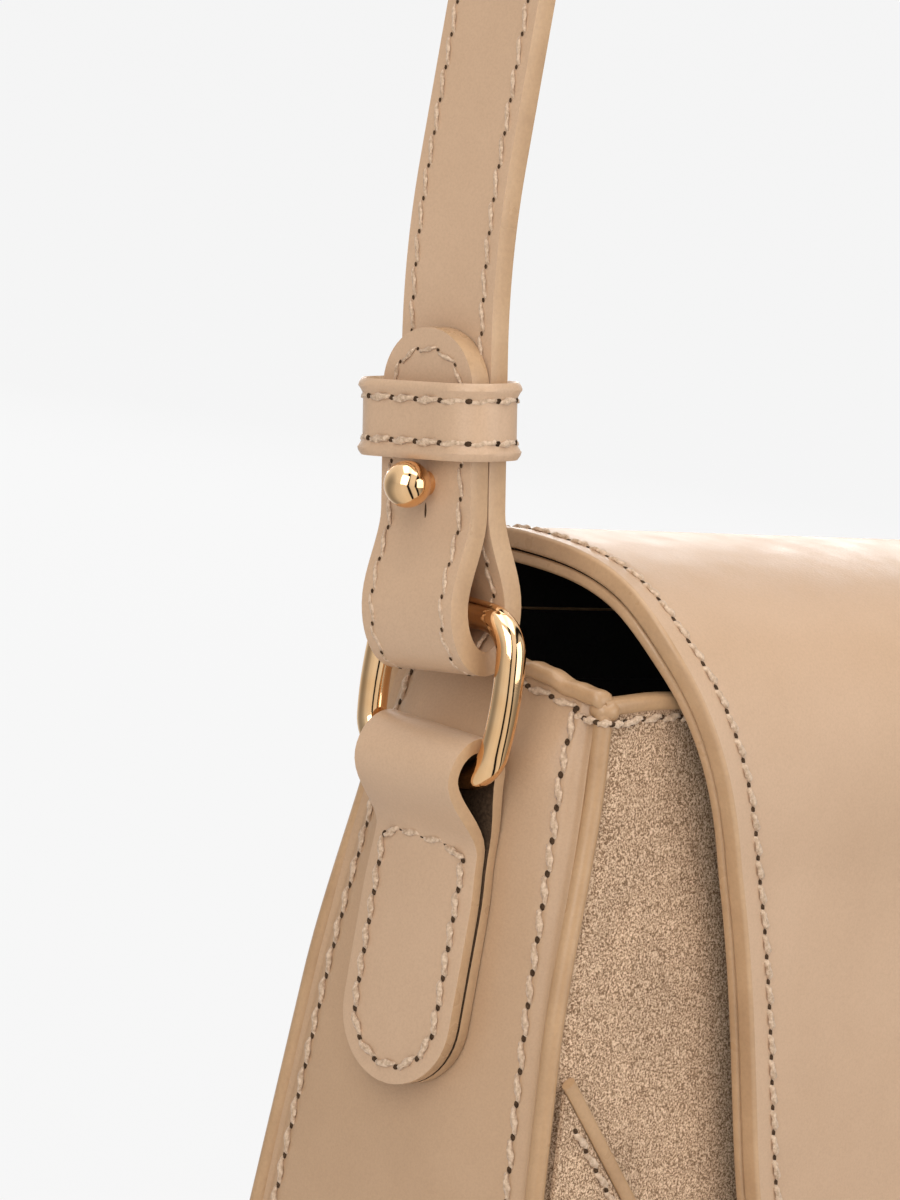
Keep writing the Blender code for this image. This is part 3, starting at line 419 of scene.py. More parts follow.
def addWorld():
    world = bpy.data.worlds.new("studio")
    bpy.context.scene.world = world
    world.use_nodes = True
    tree = world.node_tree
    path = tree.nodes.new("ShaderNodeLightPath")
    shader = tree.nodes["Background"]
    shader.inputs["Color"].default_value = (1, 1, 1, 1)
    shader.inputs["Strength"].default_value = studio["ambient"]
    shader = shader.outputs[0]
    for rays, colour in (("Is Glossy Ray", roomReflection(tree, "Generated")), ("Is Camera Ray", None)):
        seen = tree.nodes.new("ShaderNodeBackground")
        seen.inputs["Color"].default_value = studio["backdrop"]
        if colour:
            tree.links.new(colour, seen.inputs["Color"])
        mix = tree.nodes.new("ShaderNodeMixShader")
        tree.links.new(path.outputs[rays], mix.inputs[0])
        tree.links.new(shader, mix.inputs[1])
        tree.links.new(seen.outputs[0], mix.inputs[2])
        shader = mix.outputs[0]
    tree.links.new(shader, tree.nodes["World Output"].inputs["Surface"])


def addFloor():
    deselect()
    bpy.ops.mesh.primitive_plane_add(size=studio["floorSize"], location=(0, 0, 0))
    floor = bpy.context.object
    floor.name = "studioFloor"
    material, tree, shader = newMaterial("paleFloor")
    shader.inputs["Base Color"].default_value = studio["floor"]
    shader.inputs["Roughness"].default_value = 0.9
    shader.inputs["Specular IOR Level"].default_value = 0.1
    plain = tree.nodes.new("ShaderNodeEmission")
    plain.inputs["Color"].default_value = studio["backdrop"]
    path = tree.nodes.new("ShaderNodeLightPath")
    share = tree.nodes.new("ShaderNodeMath")
    share.operation = "MULTIPLY"
    share.inputs[1].default_value = studio["floorShown"]
    tree.links.new(path.outputs["Is Camera Ray"], share.inputs[0])
    mirrored = tree.nodes.new("ShaderNodeEmission")
    tree.links.new(roomReflection(tree, "Object"), mirrored.inputs["Color"])
    surface = shader.outputs[0]
    for amount, layer in ((path.outputs["Is Glossy Ray"], mirrored), (share.outputs[0], plain)):
        mix = tree.nodes.new("ShaderNodeMixShader")
        tree.links.new(amount, mix.inputs[0])
        tree.links.new(surface, mix.inputs[1])
        tree.links.new(layer.outputs[0], mix.inputs[2])
        surface = mix.outputs[0]
    tree.links.new(surface, tree.nodes["Material Output"].inputs["Surface"])
    coat(floor, material)


addLamps()
addWorld()
addFloor()
bpy.context.scene.view_settings.view_transform = "Standard"
print("camera, lamps and floor ready")

stitch = {"radius": 0.00066, "around": 6, "along": 10, "twist": 1.8, "lobe": 0.24, "flat": 0.85, "thinnest": 0.02,
          "lift": 0.00020, "dive": 1.9, "above": 0.0001, "slant": 12, "fill": 0.96,
          "holeLong": 0.00058, "holeWide": 0.00042, "holeDeep": 0.00012}


def takeShape(obj):
    points = np.array([tuple(v.co) for v in obj.data.vertices])
    faces = [tuple(p.vertices) for p in obj.data.polygons]
    bpy.data.objects.remove(obj, do_unlink=True)
    return points, faces


def threadShape(length):  # one stitch of twisted thread, whose ends dive into the leather
    def place(around, along):
        angle = math.tau * around
        share = 2 * along - 1
        taper = math.sqrt(max(0.0, 1 - abs(share) ** 5))
        lobe = 1 - stitch["lobe"] + stitch["lobe"] * math.cos(2 * angle - stitch["twist"] * math.tau * along)
        reach = stitch["radius"] * lobe * max(taper, stitch["thinnest"])
        rise = stitch["lift"] * (1 - abs(share) ** 3 * stitch["dive"])
        return Vector((share * length / 2, reach * math.cos(angle), rise + reach * stitch["flat"] * math.sin(angle)))
    obj = gridPiece("threadShape", steps(0, 1, stitch["around"] + 1), steps(0, 1, stitch["along"]), place, True)
    closeEnds(obj, 12)
    return takeShape(obj)


def holeShape():
    deselect()
    bpy.ops.mesh.primitive_uv_sphere_add(segments=8, ring_count=4, radius=1)
    obj = bpy.context.object
    size = (stitch["holeLong"], stitch["holeWide"], stitch["holeDeep"])
    inEditMode(obj, (bpy.ops.transform.resize, {"value": size}))
    return takeShape(obj)


hole = holeShape()


def spaced(line, pitch):  # even places and normals along the line, and the real distance between them
    points = np.array([tuple(p) for p, n in line])
    normals = np.array([tuple(n) for p, n in line])
    run = runAlong(points)
    count = max(1, int(round(run[-1] / pitch)))
    knots = np.linspace(0, run[-1], count + 1)

    def along(rows):
        return [np.array([np.interp(s, run, rows[:, k]) for k in range(3)]) for s in knots]
    return along(points), along(normals), run[-1] / count


def stitches(name, lines, pitch, carrier, slot="smooth_leather", slant=stitch["slant"], size=1.0):
    points, faces, kinds = [], [], []
    total = 0
    turn = math.radians(slant)
    fatness = np.array((1.0, size, size))  # finer thread keeps its stitch length
    for line in lines:
        at, up, real = spaced(line, pitch)
        shape = threadShape(real * stitch["fill"])
        for k in range(len(at)):
            # each hole takes the second, dark coat, as painted shade where the thread dives in
            jobs = [(hole, at[k], up[k], at[min(k + 1, len(at) - 1)] - at[max(k - 1, 0)], 1)]
            if k < len(at) - 1:
                jobs.append((shape, (at[k] + at[k + 1]) / 2, up[k] + up[k + 1], at[k + 1] - at[k], 0))
            for (cloud, sides), spot, above, ahead, kind in jobs:
                cloud = cloud * (size if kind else fatness)
                above = above / np.linalg.norm(above)
                ahead = ahead - above * (ahead @ above)
                ahead = ahead / np.linalg.norm(ahead)
                beside = np.cross(above, ahead)
                lean = ahead * math.cos(turn) + beside * math.sin(turn)
                side = np.cross(above, lean)
                points.append(spot + cloud[:, :1] * lean + cloud[:, 1:2] * side + cloud[:, 2:] * above)
                faces += [tuple(i + total for i in f) for f in sides]
                kinds += [kind] * len(sides)
                total += len(cloud)
    mesh = bpy.data.meshes.new(name)
    mesh.from_pydata(np.concatenate(points).tolist(), [], faces)
    mesh.materials.append(thread)
    mesh.materials.append(holeShade)
    mesh.polygons.foreach_set("material_index", kinds)
    obj = bpy.data.objects.new(name, mesh)
    bpy.context.scene.collection.objects.link(obj)
    finish(obj, carrier, slot, angle=80)


def lineOn(place, spots, lift=0.0):  # points and normals on the surface that place(u, v) gives
    line = []
    e = 0.002  # how far to each side the slope is read
    for u, v in spots:
        n = (place(u + e, v) - place(u - e, v)).cross(place(u, v + e) - place(u, v - e)).normalized()
        line.append((place(u, v) + n * lift, n))
    return line


body = {"width": 0.215, "front": 0.128, "back": 0.1325, "topDepth": 0.0425, "baseDepth": 0.0635, "corner": 0.024,
        "bulge": 0.0062, "lowBulge": 0.36, "topBulge": 0.25, "frontBulge": 0.0008, "taper": 0.0034, "taperStart": 0.58,
        "taperFull": 0.92, "risePower": 0.55, "lift": 0.0009, "liftRun": 0.014, "crease": 0.0007, "creaseAt": 0.0014,
        "creaseWide": 0.0010, "roll": 0.0015, "rollProud": 0.0006, "tuck": 0.0012, "gap": 0.0003,
        "binding": 0.0026, "inBinding": 0.0004}
half = body["width"] / 2


def drawnIn(z):  # 0 low down, 1 near the mouth
    return smooth((z / body["front"] - body["taperStart"]) / (body["taperFull"] - body["taperStart"]))


def sideHalf(z):
    return half - body["taper"] * drawnIn(z)


def halfDepth(z):
    return body["topDepth"] / 2 + (body["baseDepth"] - body["topDepth"]) / 2 * (1 - z / body["front"])


def rollProud(z):
    return body["rollProud"] * smooth((z - body["roll"]) / body["corner"])


def seamInset(z):
    return 2 * body["roll"] + body["gap"] - rollProud(z)


def tuckedInset(z):  # the panels' edges run in under the seam roll
    return seamInset(z) - body["tuck"]


def outlineHalf(z, inset):
    if z >= body["corner"]:
        return sideHalf(z) - inset
    reach = (body["corner"] - inset) ** 2 - (body["corner"] - z) ** 2
    return half - body["corner"] + math.sqrt(max(reach, 0.0))


def mouth(x):
    return body["front"] + body["lift"] * smooth((sideHalf(body["front"]) - abs(x)) / body["liftRun"])


def gussetTop(v):
    return body["front"] + (body["back"] - body["front"]) * max(0.0, (v + 1) / 2) ** body["risePower"]


def gussetBulge(y, z):  # most at the ring, where the side seams draw in
    share = z / body["front"]
    rise = body["lowBulge"] * smooth((share - 0.10) / 0.35) + (1 - body["lowBulge"]) * drawnIn(z)
    fade = smooth((share - 0.90) / 0.10)  # flatter again at the mouth
    v = y / halfDepth(z)
    return body["bulge"] * rise * (1 - (1 - body["topBulge"]) * fade) * max(0.0, 1 - v * v)


def gussetFace(y, z):
    return sideHalf(z) + gussetBulge(y, z)


def frontFace(x, z, lift=0.0):
    across = max(0.0, 1 - (x / half) ** 2)
    bulge = body["frontBulge"] * across * math.sin(math.pi * min(max(z / body["front"], 0.0), 1.0))
    return Vector((x, -halfDepth(z) - bulge - lift, z))


def seamCrease(fromEdge):  # the panels dip along the seam roll
    return body["crease"] * math.exp(-((fromEdge - body["creaseAt"]) / body["creaseWide"]) ** 2)


def lowRows(start, count):
    return [start + (body["corner"] - start) * (1 - math.cos(math.pi / 2 * t)) for t in steps(0, 1, count)]


panel = {"suede": 0.0018, "leather": 0.0020, "edge": 0.0004}
creaseColumns = [k / half for k in (0, 0.0006, 0.0011, 0.0016, 0.0022, 0.0030)]  # close ones along the seam roll


def buildFront():
    low = tuckedInset(0)
    rows = [("low", z) for z in lowRows(low, 10)] + [("high", t) for t in steps(0, 1, 40)[1:]]

    def place(u, v):
        kind, value = v
        if kind == "low":
            reach = outlineHalf(value, low)
            return frontFace(u * reach, value, -seamCrease((1 - abs(u)) * reach))
        top = mouth(u * sideHalf(body["front"])) - body["binding"] + body["inBinding"]
        z = body["corner"] + (top - body["corner"]) * value
        reach = sideHalf(z) - tuckedInset(z)
        return frontFace(u * reach, z, -seamCrease((1 - abs(u)) * reach))
    us = [-1 + n for n in creaseColumns] + steps(-0.96, 0.96, 77) + [1 - n for n in reversed(creaseColumns)]
    obj = gridPiece("frontSuede", us, rows, place)
    # its inside face takes the near-black coat, as painted shade inside the mouth
    coat(obj, suede, suede, darkLiningAndShade)
    leatherSheet(obj, panel["suede"], panel["edge"], segments=2, inside=2)
    finish(obj, "bag", "suede", "front_panel")


def buildBack():
    low = tuckedInset(0)
    rows = [("low", z) for z in lowRows(low, 10)] + [("high", t) for t in steps(0, 1, 30)[1:]]

    def place(u, v):
        kind, value = v
        top = body["back"] + body["gap"] * 0.9  # shuts the hairline under the flap's root
        z = value if kind == "low" else body["corner"] + (top - body["corner"]) * value
        x = u * (outlineHalf(z, low) if kind == "low" else sideHalf(z) - tuckedInset(z))
        return Vector((-x, halfDepth(z), z))
    obj = gridPiece("backLeather", steps(-1, 1, 61), rows, place)
    # the inside face and cut edges take the near-black coat: painted shade over the leather inside the mouth and along
    # its top edge
    coat(obj, leather, darkLiningAndShade, darkLiningAndShade)
    leatherSheet(obj, panel["leather"], panel["edge"], segments=2, inside=2)
    finish(obj, "bag", "smooth_leather", "back_panel")


def buildBase():
    wide = half - body["corner"] - body["gap"]
    deep = halfDepth(0) - seamInset(0)
    obj = gridPiece("baseLeather", steps(-1, 1, 25), steps(-1, 1, 9),
                    lambda u, v: Vector((-u * wide, v * deep, 0)))
    coat(obj, leather, paintedEdge)
    leatherSheet(obj, panel["leather"], panel["edge"], segments=2)
    finish(obj, "bag", "smooth_leather", "base_panel")


buildFront()
buildBack()
buildBase()
print("front, back and base ready")

gusset = {"leather": 0.0020, "edge": 0.0003, "stitchIn": 0.0036, "groove": 0.00022, "grooveWide": 0.0008,
          "pitch": 0.0049, "topStitchDrop": 0.0014, "run": 0.14, "halfWide": 0.022}
grooveColumns = [o / gusset["halfWide"] for o in (0, 0.0005, 0.0010, 0.0014, 0.0018, 0.0023, 0.0028, 0.0032, 0.0036,
                                                  0.0041, 0.0046, 0.0052, 0.0060)]


def gussetPlace(u, v):  # u from the front seam to the back one, v from the mouth down and round the lower corner
    top = gussetTop(u) - body["binding"] + body["inBinding"]
    straight = top - body["corner"]
    bend = body["corner"] * math.pi / 2
    run = v * (straight + bend)
    if run <= straight:
        z = top - run
        nx, nz = -1.0, 0.0
        x = -sideHalf(z)
    else:
        angle = (run - straight) / body["corner"]
        x = -half + body["corner"] * (1 - math.cos(angle))
        z = body["corner"] * (1 - math.sin(angle))
        nx, nz = -math.cos(angle), -math.sin(angle)
    depth = halfDepth(z) - tuckedInset(z)
    y = u * depth
    swell = gussetBulge(y, z)
    fromEdge = depth - abs(y)
    swell -= gusset["groove"] * math.exp(-((fromEdge - gusset["stitchIn"]) / gusset["grooveWide"]) ** 2)
    swell -= seamCrease(fromEdge)
    return Vector((x + nx * swell, y, z + nz * swell))


def gussetColumn(z, offset, side):
    return side * (1 - offset / (halfDepth(z) - tuckedInset(z)))


def buildGussets():
    us = [-1 + e for e in grooveColumns] + steps(-0.70, 0.70, 21) + [1 - e for e in reversed(grooveColumns)]
    for side, name in ((1, "Left"), (-1, "Right")):
        obj = gridPiece("gusset" + name, us, steps(0, 1, 70), lambda u, v: onSide(gussetPlace(u * side, v), side))
        # their inside faces take the near-black coat, as painted shade inside the mouth
        coat(obj, shadedGussetLeather, rollLeatherAndShade, darkLiningAndShade)
        leatherSheet(obj, gusset["leather"], gusset["edge"], segments=2, inside=2)
        finish(obj, "bag", "smooth_leather", "gusset_" + name.lower())


def gussetLines(side):
    lines = []
    for edge in (-1, 1):
        spots = []
        for v in steps(0.012, 0.99, 120):
            z = gussetPlace(0, v).z
            spots.append((gussetColumn(max(z, 0.0), gusset["stitchIn"], edge), v))
        lines.append(lineOn(gussetPlace, spots, stitch["above"]))
    top = [(u, gusset["topStitchDrop"] / gusset["run"]) for u in steps(-0.83, 0.83, 40)]
    lines.append(lineOn(gussetPlace, top, stitch["above"]))
    return [[(onSide(p, side), onSide(n, side)) for p, n in line] for line in lines]


buildGussets()
stitches("gussetStitchesLeft", gussetLines(1), gusset["pitch"], "bag")
stitches("gussetStitchesRight", gussetLines(-1), gusset["pitch"], "bag")
print("gussets ready")


def sideTrack(top, drop, count):
    track = [(-sideHalf(z) + drop, z, -1.0, 0.0) for z in steps(top, body["corner"], count)]
    for angle in steps(0, math.pi / 2, 25)[1:]:
        reach = body["corner"] - drop
        track.append((-half + body["corner"] - reach * math.cos(angle), body["corner"] - reach * math.sin(angle),
                      -math.cos(angle), -math.sin(angle)))
    return track


def buildRoll(name, sign, top, node):
    left = []
    for x, z, nx, nz in sideTrack(top, body["roll"], 50):
        proud = rollProud(z)
        left.append(Vector((x + nx * proud, sign * (halfDepth(z) - body["roll"] + proud), z + nz * proud)))
    points = left + [mirrorX(p) for p in reversed(left)]
    obj = tubePiece(name, points, body["roll"] * 0.98, fineness=6)  # a hair thinner, so it clears its neighbours
    coat(obj, rollLeatherAndShade)
    finish(obj, "bag", "smooth_leather", node)


binding = {"over": 0.0024, "frontHalf": 0.0015, "sideHalf": 0.0018, "endShare": 0.7,
           "puckers": ((0.00030, 13, 1.2), (0.00014, 31, 0.0)), "puckerIn": 0.6}


def strip(name, centres, halfThick, thickAxis, node):  # a bound edge along the centres
    loop = [(0, -1), (0.55, -0.95), (0.9, -0.7), (1, -0.3), (1, 0.3), (0.9, 0.7), (0.55, 0.95), (0, 1),
            (-0.55, 0.95), (-0.9, 0.7), (-1, 0.3), (-1, -0.3), (-0.9, -0.7), (-0.55, -0.95), (0, -1)]

    def place(u, v):
        side, rise = loop[u]
        full = binding["endShare"] if v in (0, len(centres) - 1) else 1.0  # rounded ends
        return centres[v] + (thickAxis * (side * halfThick) + Vector((0, 0, rise * body["binding"] / 2))) * full
    obj = gridPiece(name, list(range(len(loop))), list(range(len(centres))), place, True)
    closeEnds(obj)
    coat(obj, rollLeatherAndShade)
    finish(obj, "bag", "smooth_leather", node, angle=70)


def buildBindings():  # they run on over the top of the seam roll
    reach = sideHalf(body["front"]) - seamInset(body["front"]) + binding["over"]
    mids = []
    for t in steps(-1, 1, 81):
        x = t * reach
        z = mouth(x) - body["binding"] / 2
        mids.append(Vector((x, frontFace(x, z).y + panel["suede"] / 2, z)))
    strip("frontTopBinding", mids, binding["frontHalf"], Vector((0, 1, 0)), "front_top_binding")
    for side, name in ((1, "Left"), (-1, "Right")):
        mids = []
        for v in steps(-1, 1, 61):
            z = gussetTop(v) - body["binding"] / 2
            y = v * (halfDepth(z) - seamInset(z) + binding["over"])
            pucker = sum(size * math.sin(waves * v + start) for size, waves, start in binding["puckers"])
            x = gussetFace(y, z) - gusset["leather"] / 2 + binding["puckerIn"] * pucker
            mids.append(Vector((-side * x, y, z + pucker)))
        node = "gusset_top_binding_" + name.lower()
        strip("gussetBinding" + name, mids, binding["sideHalf"], Vector((1, 0, 0)), node)


rollEnd = {"drop": 0.0019, "wide": 0.0023, "high": 0.0020, "forward": 0.0002, "dent": 0.22, "dentWide": 0.45}


def foldedEnd(side, name):  # the seam roll's top end, folded over between the two bindings
    deselect()
    bpy.ops.mesh.primitive_uv_sphere_add(segments=20, ring_count=12, radius=1)
    obj = bpy.context.object
    obj.name = obj.data.name = "rollEnd" + name
    z = body["front"] - rollEnd["drop"]
    middle = Vector((-sideHalf(z) + body["roll"], -halfDepth(z) + body["roll"] - rollEnd["forward"], z))
    for vertex in obj.data.vertices:
        x, y, up = vertex.co
        crease = 1 - rollEnd["dent"] * math.exp(-((x - y) / rollEnd["dentWide"]) ** 2) * max(up, 0.0)
        p = Vector((x * rollEnd["wide"], y * rollEnd["wide"], up * rollEnd["high"])) * crease + middle
        vertex.co = onSide(p, side)
    mergeSeams(obj)
    coat(obj, rollLeatherAndShade)
    finish(obj, "bag", "smooth_leather", angle=80)


frontStitch = {"drop": 0.0035, "pitch": 0.0042, "endIn": 0.002, "tackPitch": 0.0028,
               "tacks": [((0.0000, 0.0058), (-1, 0)), ((-0.0008, 0.0030), (-1, 0)), ((-0.0009, 0.0006), (-1, -0.5)),
                         ((-0.0002, -0.0007), (-0.7, -0.7)), ((0.0012, -0.0010), (-0.3, -1)),
                         ((0.0040, -0.0004), (0, -1)), ((0.0062, -0.0003), (0, -1))]}  # place and normal from above


def cornerTacks(side):  # the top stitch row carries on round the seam roll
    z = body["front"] - frontStitch["drop"]
    x, y = -sideHalf(z), -halfDepth(z)
    return [(onSide(Vector((x + dx, y + dy, z)), side), onSide(Vector((nx, ny, 0)).normalized(), side))
            for (dx, dy), (nx, ny) in frontStitch["tacks"]]


def frontTopLine():
    line = []
    reach = sideHalf(body["front"]) - seamInset(body["front"]) - frontStitch["endIn"]
    for t in steps(-1, 1, 120):
        x = t * reach
        line.append((frontFace(x, mouth(x) - frontStitch["drop"], stitch["above"]), Vector((0, -1, 0.05))))
    return line


rollDrop = 0.0018  # the rolls end this far below the mouth
buildRoll("frontSeamRoll", -1, body["front"] - rollDrop, "front_seam_roll")
buildRoll("backSeamRoll", 1, body["back"] - rollDrop, "back_seam_roll")
buildBindings()
foldedEnd(1, "Left")
foldedEnd(-1, "Right")
stitches("frontTopStitches", [frontTopLine()], frontStitch["pitch"], "bag", "suede")
stitches("cornerTacks", [cornerTacks(1), cornerTacks(-1)], frontStitch["tackPitch"], "bag")
print("rolls and bindings ready")

diagonal = {"drop": 0.0562, "angle": math.radians(48), "width": 0.0024, "proud": 0.0017, "overlay": 0.0008,
            "edge": 0.0003, "clear": 0.0001, "below": 0.0004, "above": 0.0006, "stitchBelow": 0.0028, "pitch": 0.0042,
            "stitchTop": 0.006, "stitchEnd": 0.004}
diagonalTop = body["front"] - diagonal["drop"]


def diagonalX(z):
    return -sideHalf(z) + seamInset(z) + (diagonalTop - z) / math.tan(diagonal["angle"])


def buildCorners():
    band = (diagonal["width"] / 2 + diagonal["clear"]) / math.sin(diagonal["angle"])
    low = seamInset(0) + body["gap"]
    high = diagonalTop - band * math.tan(diagonal["angle"]) - diagonal["below"]
    levels = lowRows(low, 12) + steps(body["corner"], high, 20)[1:]
    for side, name in ((1, "Left"), (-1, "Right")):
        def place(u, z):
            leftX = -outlineHalf(z, seamInset(z) + body["gap"])
            x = leftX + (diagonalX(z) - band - leftX) * (u if side == 1 else 1 - u)
            return frontFace(x * side, z, body["gap"] + diagonal["overlay"])
        obj = gridPiece("suedeCorner" + name, steps(0, 1, 31), levels, place)
        coat(obj, suede, suede)
        leatherSheet(obj, diagonal["overlay"], diagonal["edge"], segments=2)
        finish(obj, "bag", "suede", "front_corner_" + name.lower())


def buildDiagonals():
    across = Vector((math.sin(diagonal["angle"]), 0, math.cos(diagonal["angle"])))
    lean = (halfDepth(0) - halfDepth(body["front"])) / body["front"]
    loop = steps(0, 1, 17)
    zs = steps(diagonalTop - diagonal["above"], seamInset(0) + diagonal["width"] * 0.6, 60)
    face = body["gap"] + diagonal["overlay"] + stitch["above"]
    for side, name in ((1, "Left"), (-1, "Right")):
        def place(u, z):
            angle = math.tau * u
            middle = frontFace(diagonalX(z), z, body["gap"] + diagonal["proud"] / 2)
            flat = across * (math.cos(angle) * diagonal["width"] / 2)
            flat.y += flat.z * lean
            return onSide(middle + flat + Vector((0, -1, 0)) * (math.sin(angle) * diagonal["proud"] / 2), side)
        obj = gridPiece("diagonalBinding" + name, loop, zs, place, True)
        closeEnds(obj)
        coat(obj, rollLeatherAndShade)
        finish(obj, "bag", "smooth_leather", "diagonal_binding_" + name.lower(), angle=70)
        line = []
        for z in steps(diagonalTop - diagonal["stitchTop"], seamInset(0) + diagonal["stitchEnd"], 80):
            p = frontFace(diagonalX(z), z, face) - across * diagonal["stitchBelow"]
            line.append((onSide(frontFace(p.x, p.z, face), side), Vector((0, -1, 0.07))))
        stitches("diagonalStitches" + name, [line], diagonal["pitch"], "bag", "suede")


buildCorners()
buildDiagonals()
print("suede corners ready")

flap = {"outer": 0.0030, "lining": 0.0018, "half": 0.0946, "rise": 0.0161, "crownY": 0.008, "shoulder": 0.025,
        "standoff": 0.0052, "endZ": 0.019, "taper": 0.008, "inset": 0.0004, "round": 2.75,
        "waist": 0.516, "skirt": 0.972, "waistDown": 0.637, "skirtDown": 0.98, "band": 0.009, "spineShort": 0.004,
        "stitchIn": 0.0044, "pitch": 0.0040, "groove": 0.00020, "grooveWide": 0.0008, "grooveReach": 0.02,
        "edge": 0.0010, "liningEdge": 0.0006,
        "bandRows": [0, 0.0006, 0.0014, 0.0024, 0.0032, 0.0038, 0.0044, 0.0050, 0.0056, 0.0066, 0.0090]}
hingeZ = body["back"] + body["gap"]


def frontPlane(z):
    return -halfDepth(z) - flap["standoff"]


def flapProfile():  # the line between its two layers, from the hinge over the top to the front edge
    n = flap["round"]
    crown = body["front"] + flap["rise"]
    shoulder = body["front"] - flap["shoulder"]
    rootY = halfDepth(body["back"]) + body["gap"] / 2
    line = []
    for angle in steps(0, math.pi / 2, 60):
        line.append((flap["crownY"] + (rootY - flap["crownY"]) * math.cos(angle) ** (2 / n),
                     hingeZ + (crown - hingeZ) * math.sin(angle) ** (2 / n)))
    reach = flap["crownY"] - frontPlane(shoulder)
    for angle in steps(math.pi / 2, 0, 90)[1:]:
        line.append((flap["crownY"] - reach * math.cos(angle) ** (2 / n),
                     shoulder + (crown - shoulder) * max(math.sin(angle), 0.0) ** (2 / n)))
    for z in steps(shoulder, flap["endZ"], 40)[1:]:
        line.append((frontPlane(z), z))
    line = np.array(line)
    run = runAlong(line)
    even = np.linspace(0, run[-1], 420)
    ys, zs = np.interp(even, run, line[:, 0]), np.interp(even, run, line[:, 1])
    soft = np.ones(9) / 9
    for values in (ys, zs):
        padded = np.concatenate((2 * values[0] - values[4:0:-1], values, 2 * values[-1] - values[-2:-6:-1]))
        values[:] = np.convolve(padded, soft, "valid")
    return even, ys, zs


flapRun, flapY, flapZ = flapProfile()
flapDy, flapDz = np.gradient(flapY, flapRun), np.gradient(flapZ, flapRun)


def onFlap(x, d, lift):
    dy, dz = np.interp(d, flapRun, flapDy), np.interp(d, flapRun, flapDz)
    size = math.hypot(dy, dz)
    return Vector((x, float(np.interp(d, flapRun, flapY)) + dz / size * lift,
                   float(np.interp(d, flapRun, flapZ)) - dy / size * lift))


def flapOutline():  # half width against distance from the hinge, along the right edge to the middle of the front
    taperZ = body["front"] + flap["taper"]
    span = taperZ - flap["endZ"]
    front = int(np.argmax(flapZ))
    zDown, dDown = flapZ[front:][::-1], flapRun[front:][::-1]
    corners = [Vector((flap["half"], taperZ)),
               Vector((flap["half"] * flap["waist"], taperZ - span * flap["waistDown"])),
               Vector((flap["half"] * flap["skirt"], taperZ - span * flap["skirtDown"])), Vector((0, flap["endZ"]))]
    startD = float(np.interp(taperZ, zDown, dDown))
    line = [(flap["half"], d) for d in steps(0, startD, 30)]
    for t in steps(0, 1, 140)[1:]:
        p = cubic(*corners, t)
        line.append((p.x, float(np.interp(p.y, zDown, dDown))))
    line = np.array(line)
    run = runAlong(line)
    even = np.linspace(0, run[-1], 130)
    xs, ds = np.interp(even, run, line[:, 0]), np.interp(even, run, line[:, 1])
    soft = np.ones(7) / 7
    xPad = np.concatenate((np.full(3, xs[0]), xs, -xs[-2:-5:-1]))
    dPad = np.concatenate((2 * ds[0] - ds[3:0:-1], ds, ds[-2:-5:-1]))
    return np.stack((np.convolve(xPad, soft, "valid"), np.convolve(dPad, soft, "valid")), axis=1)


outline = flapOutline()
outlineDir = np.gradient(outline, axis=0)
outlineDir /= np.linalg.norm(outlineDir, axis=1)[:, None]
outlineIn = np.stack((-outlineDir[:, 1], outlineDir[:, 0]), axis=1)
outlineIn[0] = (-1, 0)
outlineIn[-1] = (0, -1)
lastD = outline[-1, 1]


def flapSpot(i, inset):  # the edge band keeps its width, and the rest closes in on a line down the middle
    last = len(outline) - 1
    k = i if i <= last else 2 * last - i
    mirrored = -1 if i <= last else 1
    band = flap["band"]
    near = outline[k] + outlineIn[k] * min(inset, band)
    near[0] = max(near[0], 0.0)
    near[1] = max(near[1], 0.0)
    if inset > band:
        share = (inset - band) / (1 - band)
        spine = np.array((0.0, outline[k, 1] * (lastD - band - flap["spineShort"]) / lastD))
        near = near + (spine - near) * share
    return near[0] * mirrored, near[1]


def buildFlap():
    insets = flap["bandRows"] + [flap["band"] + (1 - flap["band"]) * t for t in steps(0, 1, 15)[1:]]
    ends = list(range(2 * len(outline) - 1))
    face = body["gap"] / 2 + flap["outer"]

    def outer(i, inset):
        groove = flap["groove"] * math.exp(-((inset - flap["stitchIn"]) / flap["grooveWide"]) ** 2)
        return onFlap(*flapSpot(i, inset), face - (groove if inset < flap["grooveReach"] else 0))

    def inner(i, inset):
        x, d = flapSpot(i, inset + flap["inset"] if inset < flap["band"] else inset)
        return onFlap(x, d, -body["gap"] / 2)
    obj = gridPiece("flapLeather", ends, insets, outer, True)
    coat(obj, leather, paintedEdge)
    leatherSheet(obj, flap["outer"], flap["edge"], segments=4)
    finish(obj, "flap", "smooth_leather", "flap_outer")
    obj = gridPiece("flapLiningLeather", ends, insets, inner, True)
    coat(obj, darkLiningAndShade, paintedEdge)  # dark inside, with the painted edge showing round it
    leatherSheet(obj, flap["lining"], flap["liningEdge"], segments=3)
    finish(obj, "flap", "painted_edge", "flap_lining")
    line = []
    for i in ends:
        x, d = flapSpot(i, flap["stitchIn"])
        p = onFlap(x, d, face - flap["groove"] * 0.5)
        line.append((p, p - onFlap(x, d, 0)))
    stitches("flapStitches", [line[3:-3]], flap["pitch"], "flap")


buildFlap()
print("flap ready")

tail = {"length": 0.026, "edge": 0.0008, "stitchIn": 0.0035, "pitch": 0.0045}


def tailPlace(u, v):
    run = tail["length"] * v
    z = body["back"] - run
    curl = max(0.0, run - tail["length"] / 2) / (tail["length"] / 2)
    wide = flap["half"] - tail["length"] / 2 * (1 - math.sqrt(max(0.0, 1 - curl * curl)))
    return Vector((-u * wide, halfDepth(z) + body["gap"] + flap["outer"], z))


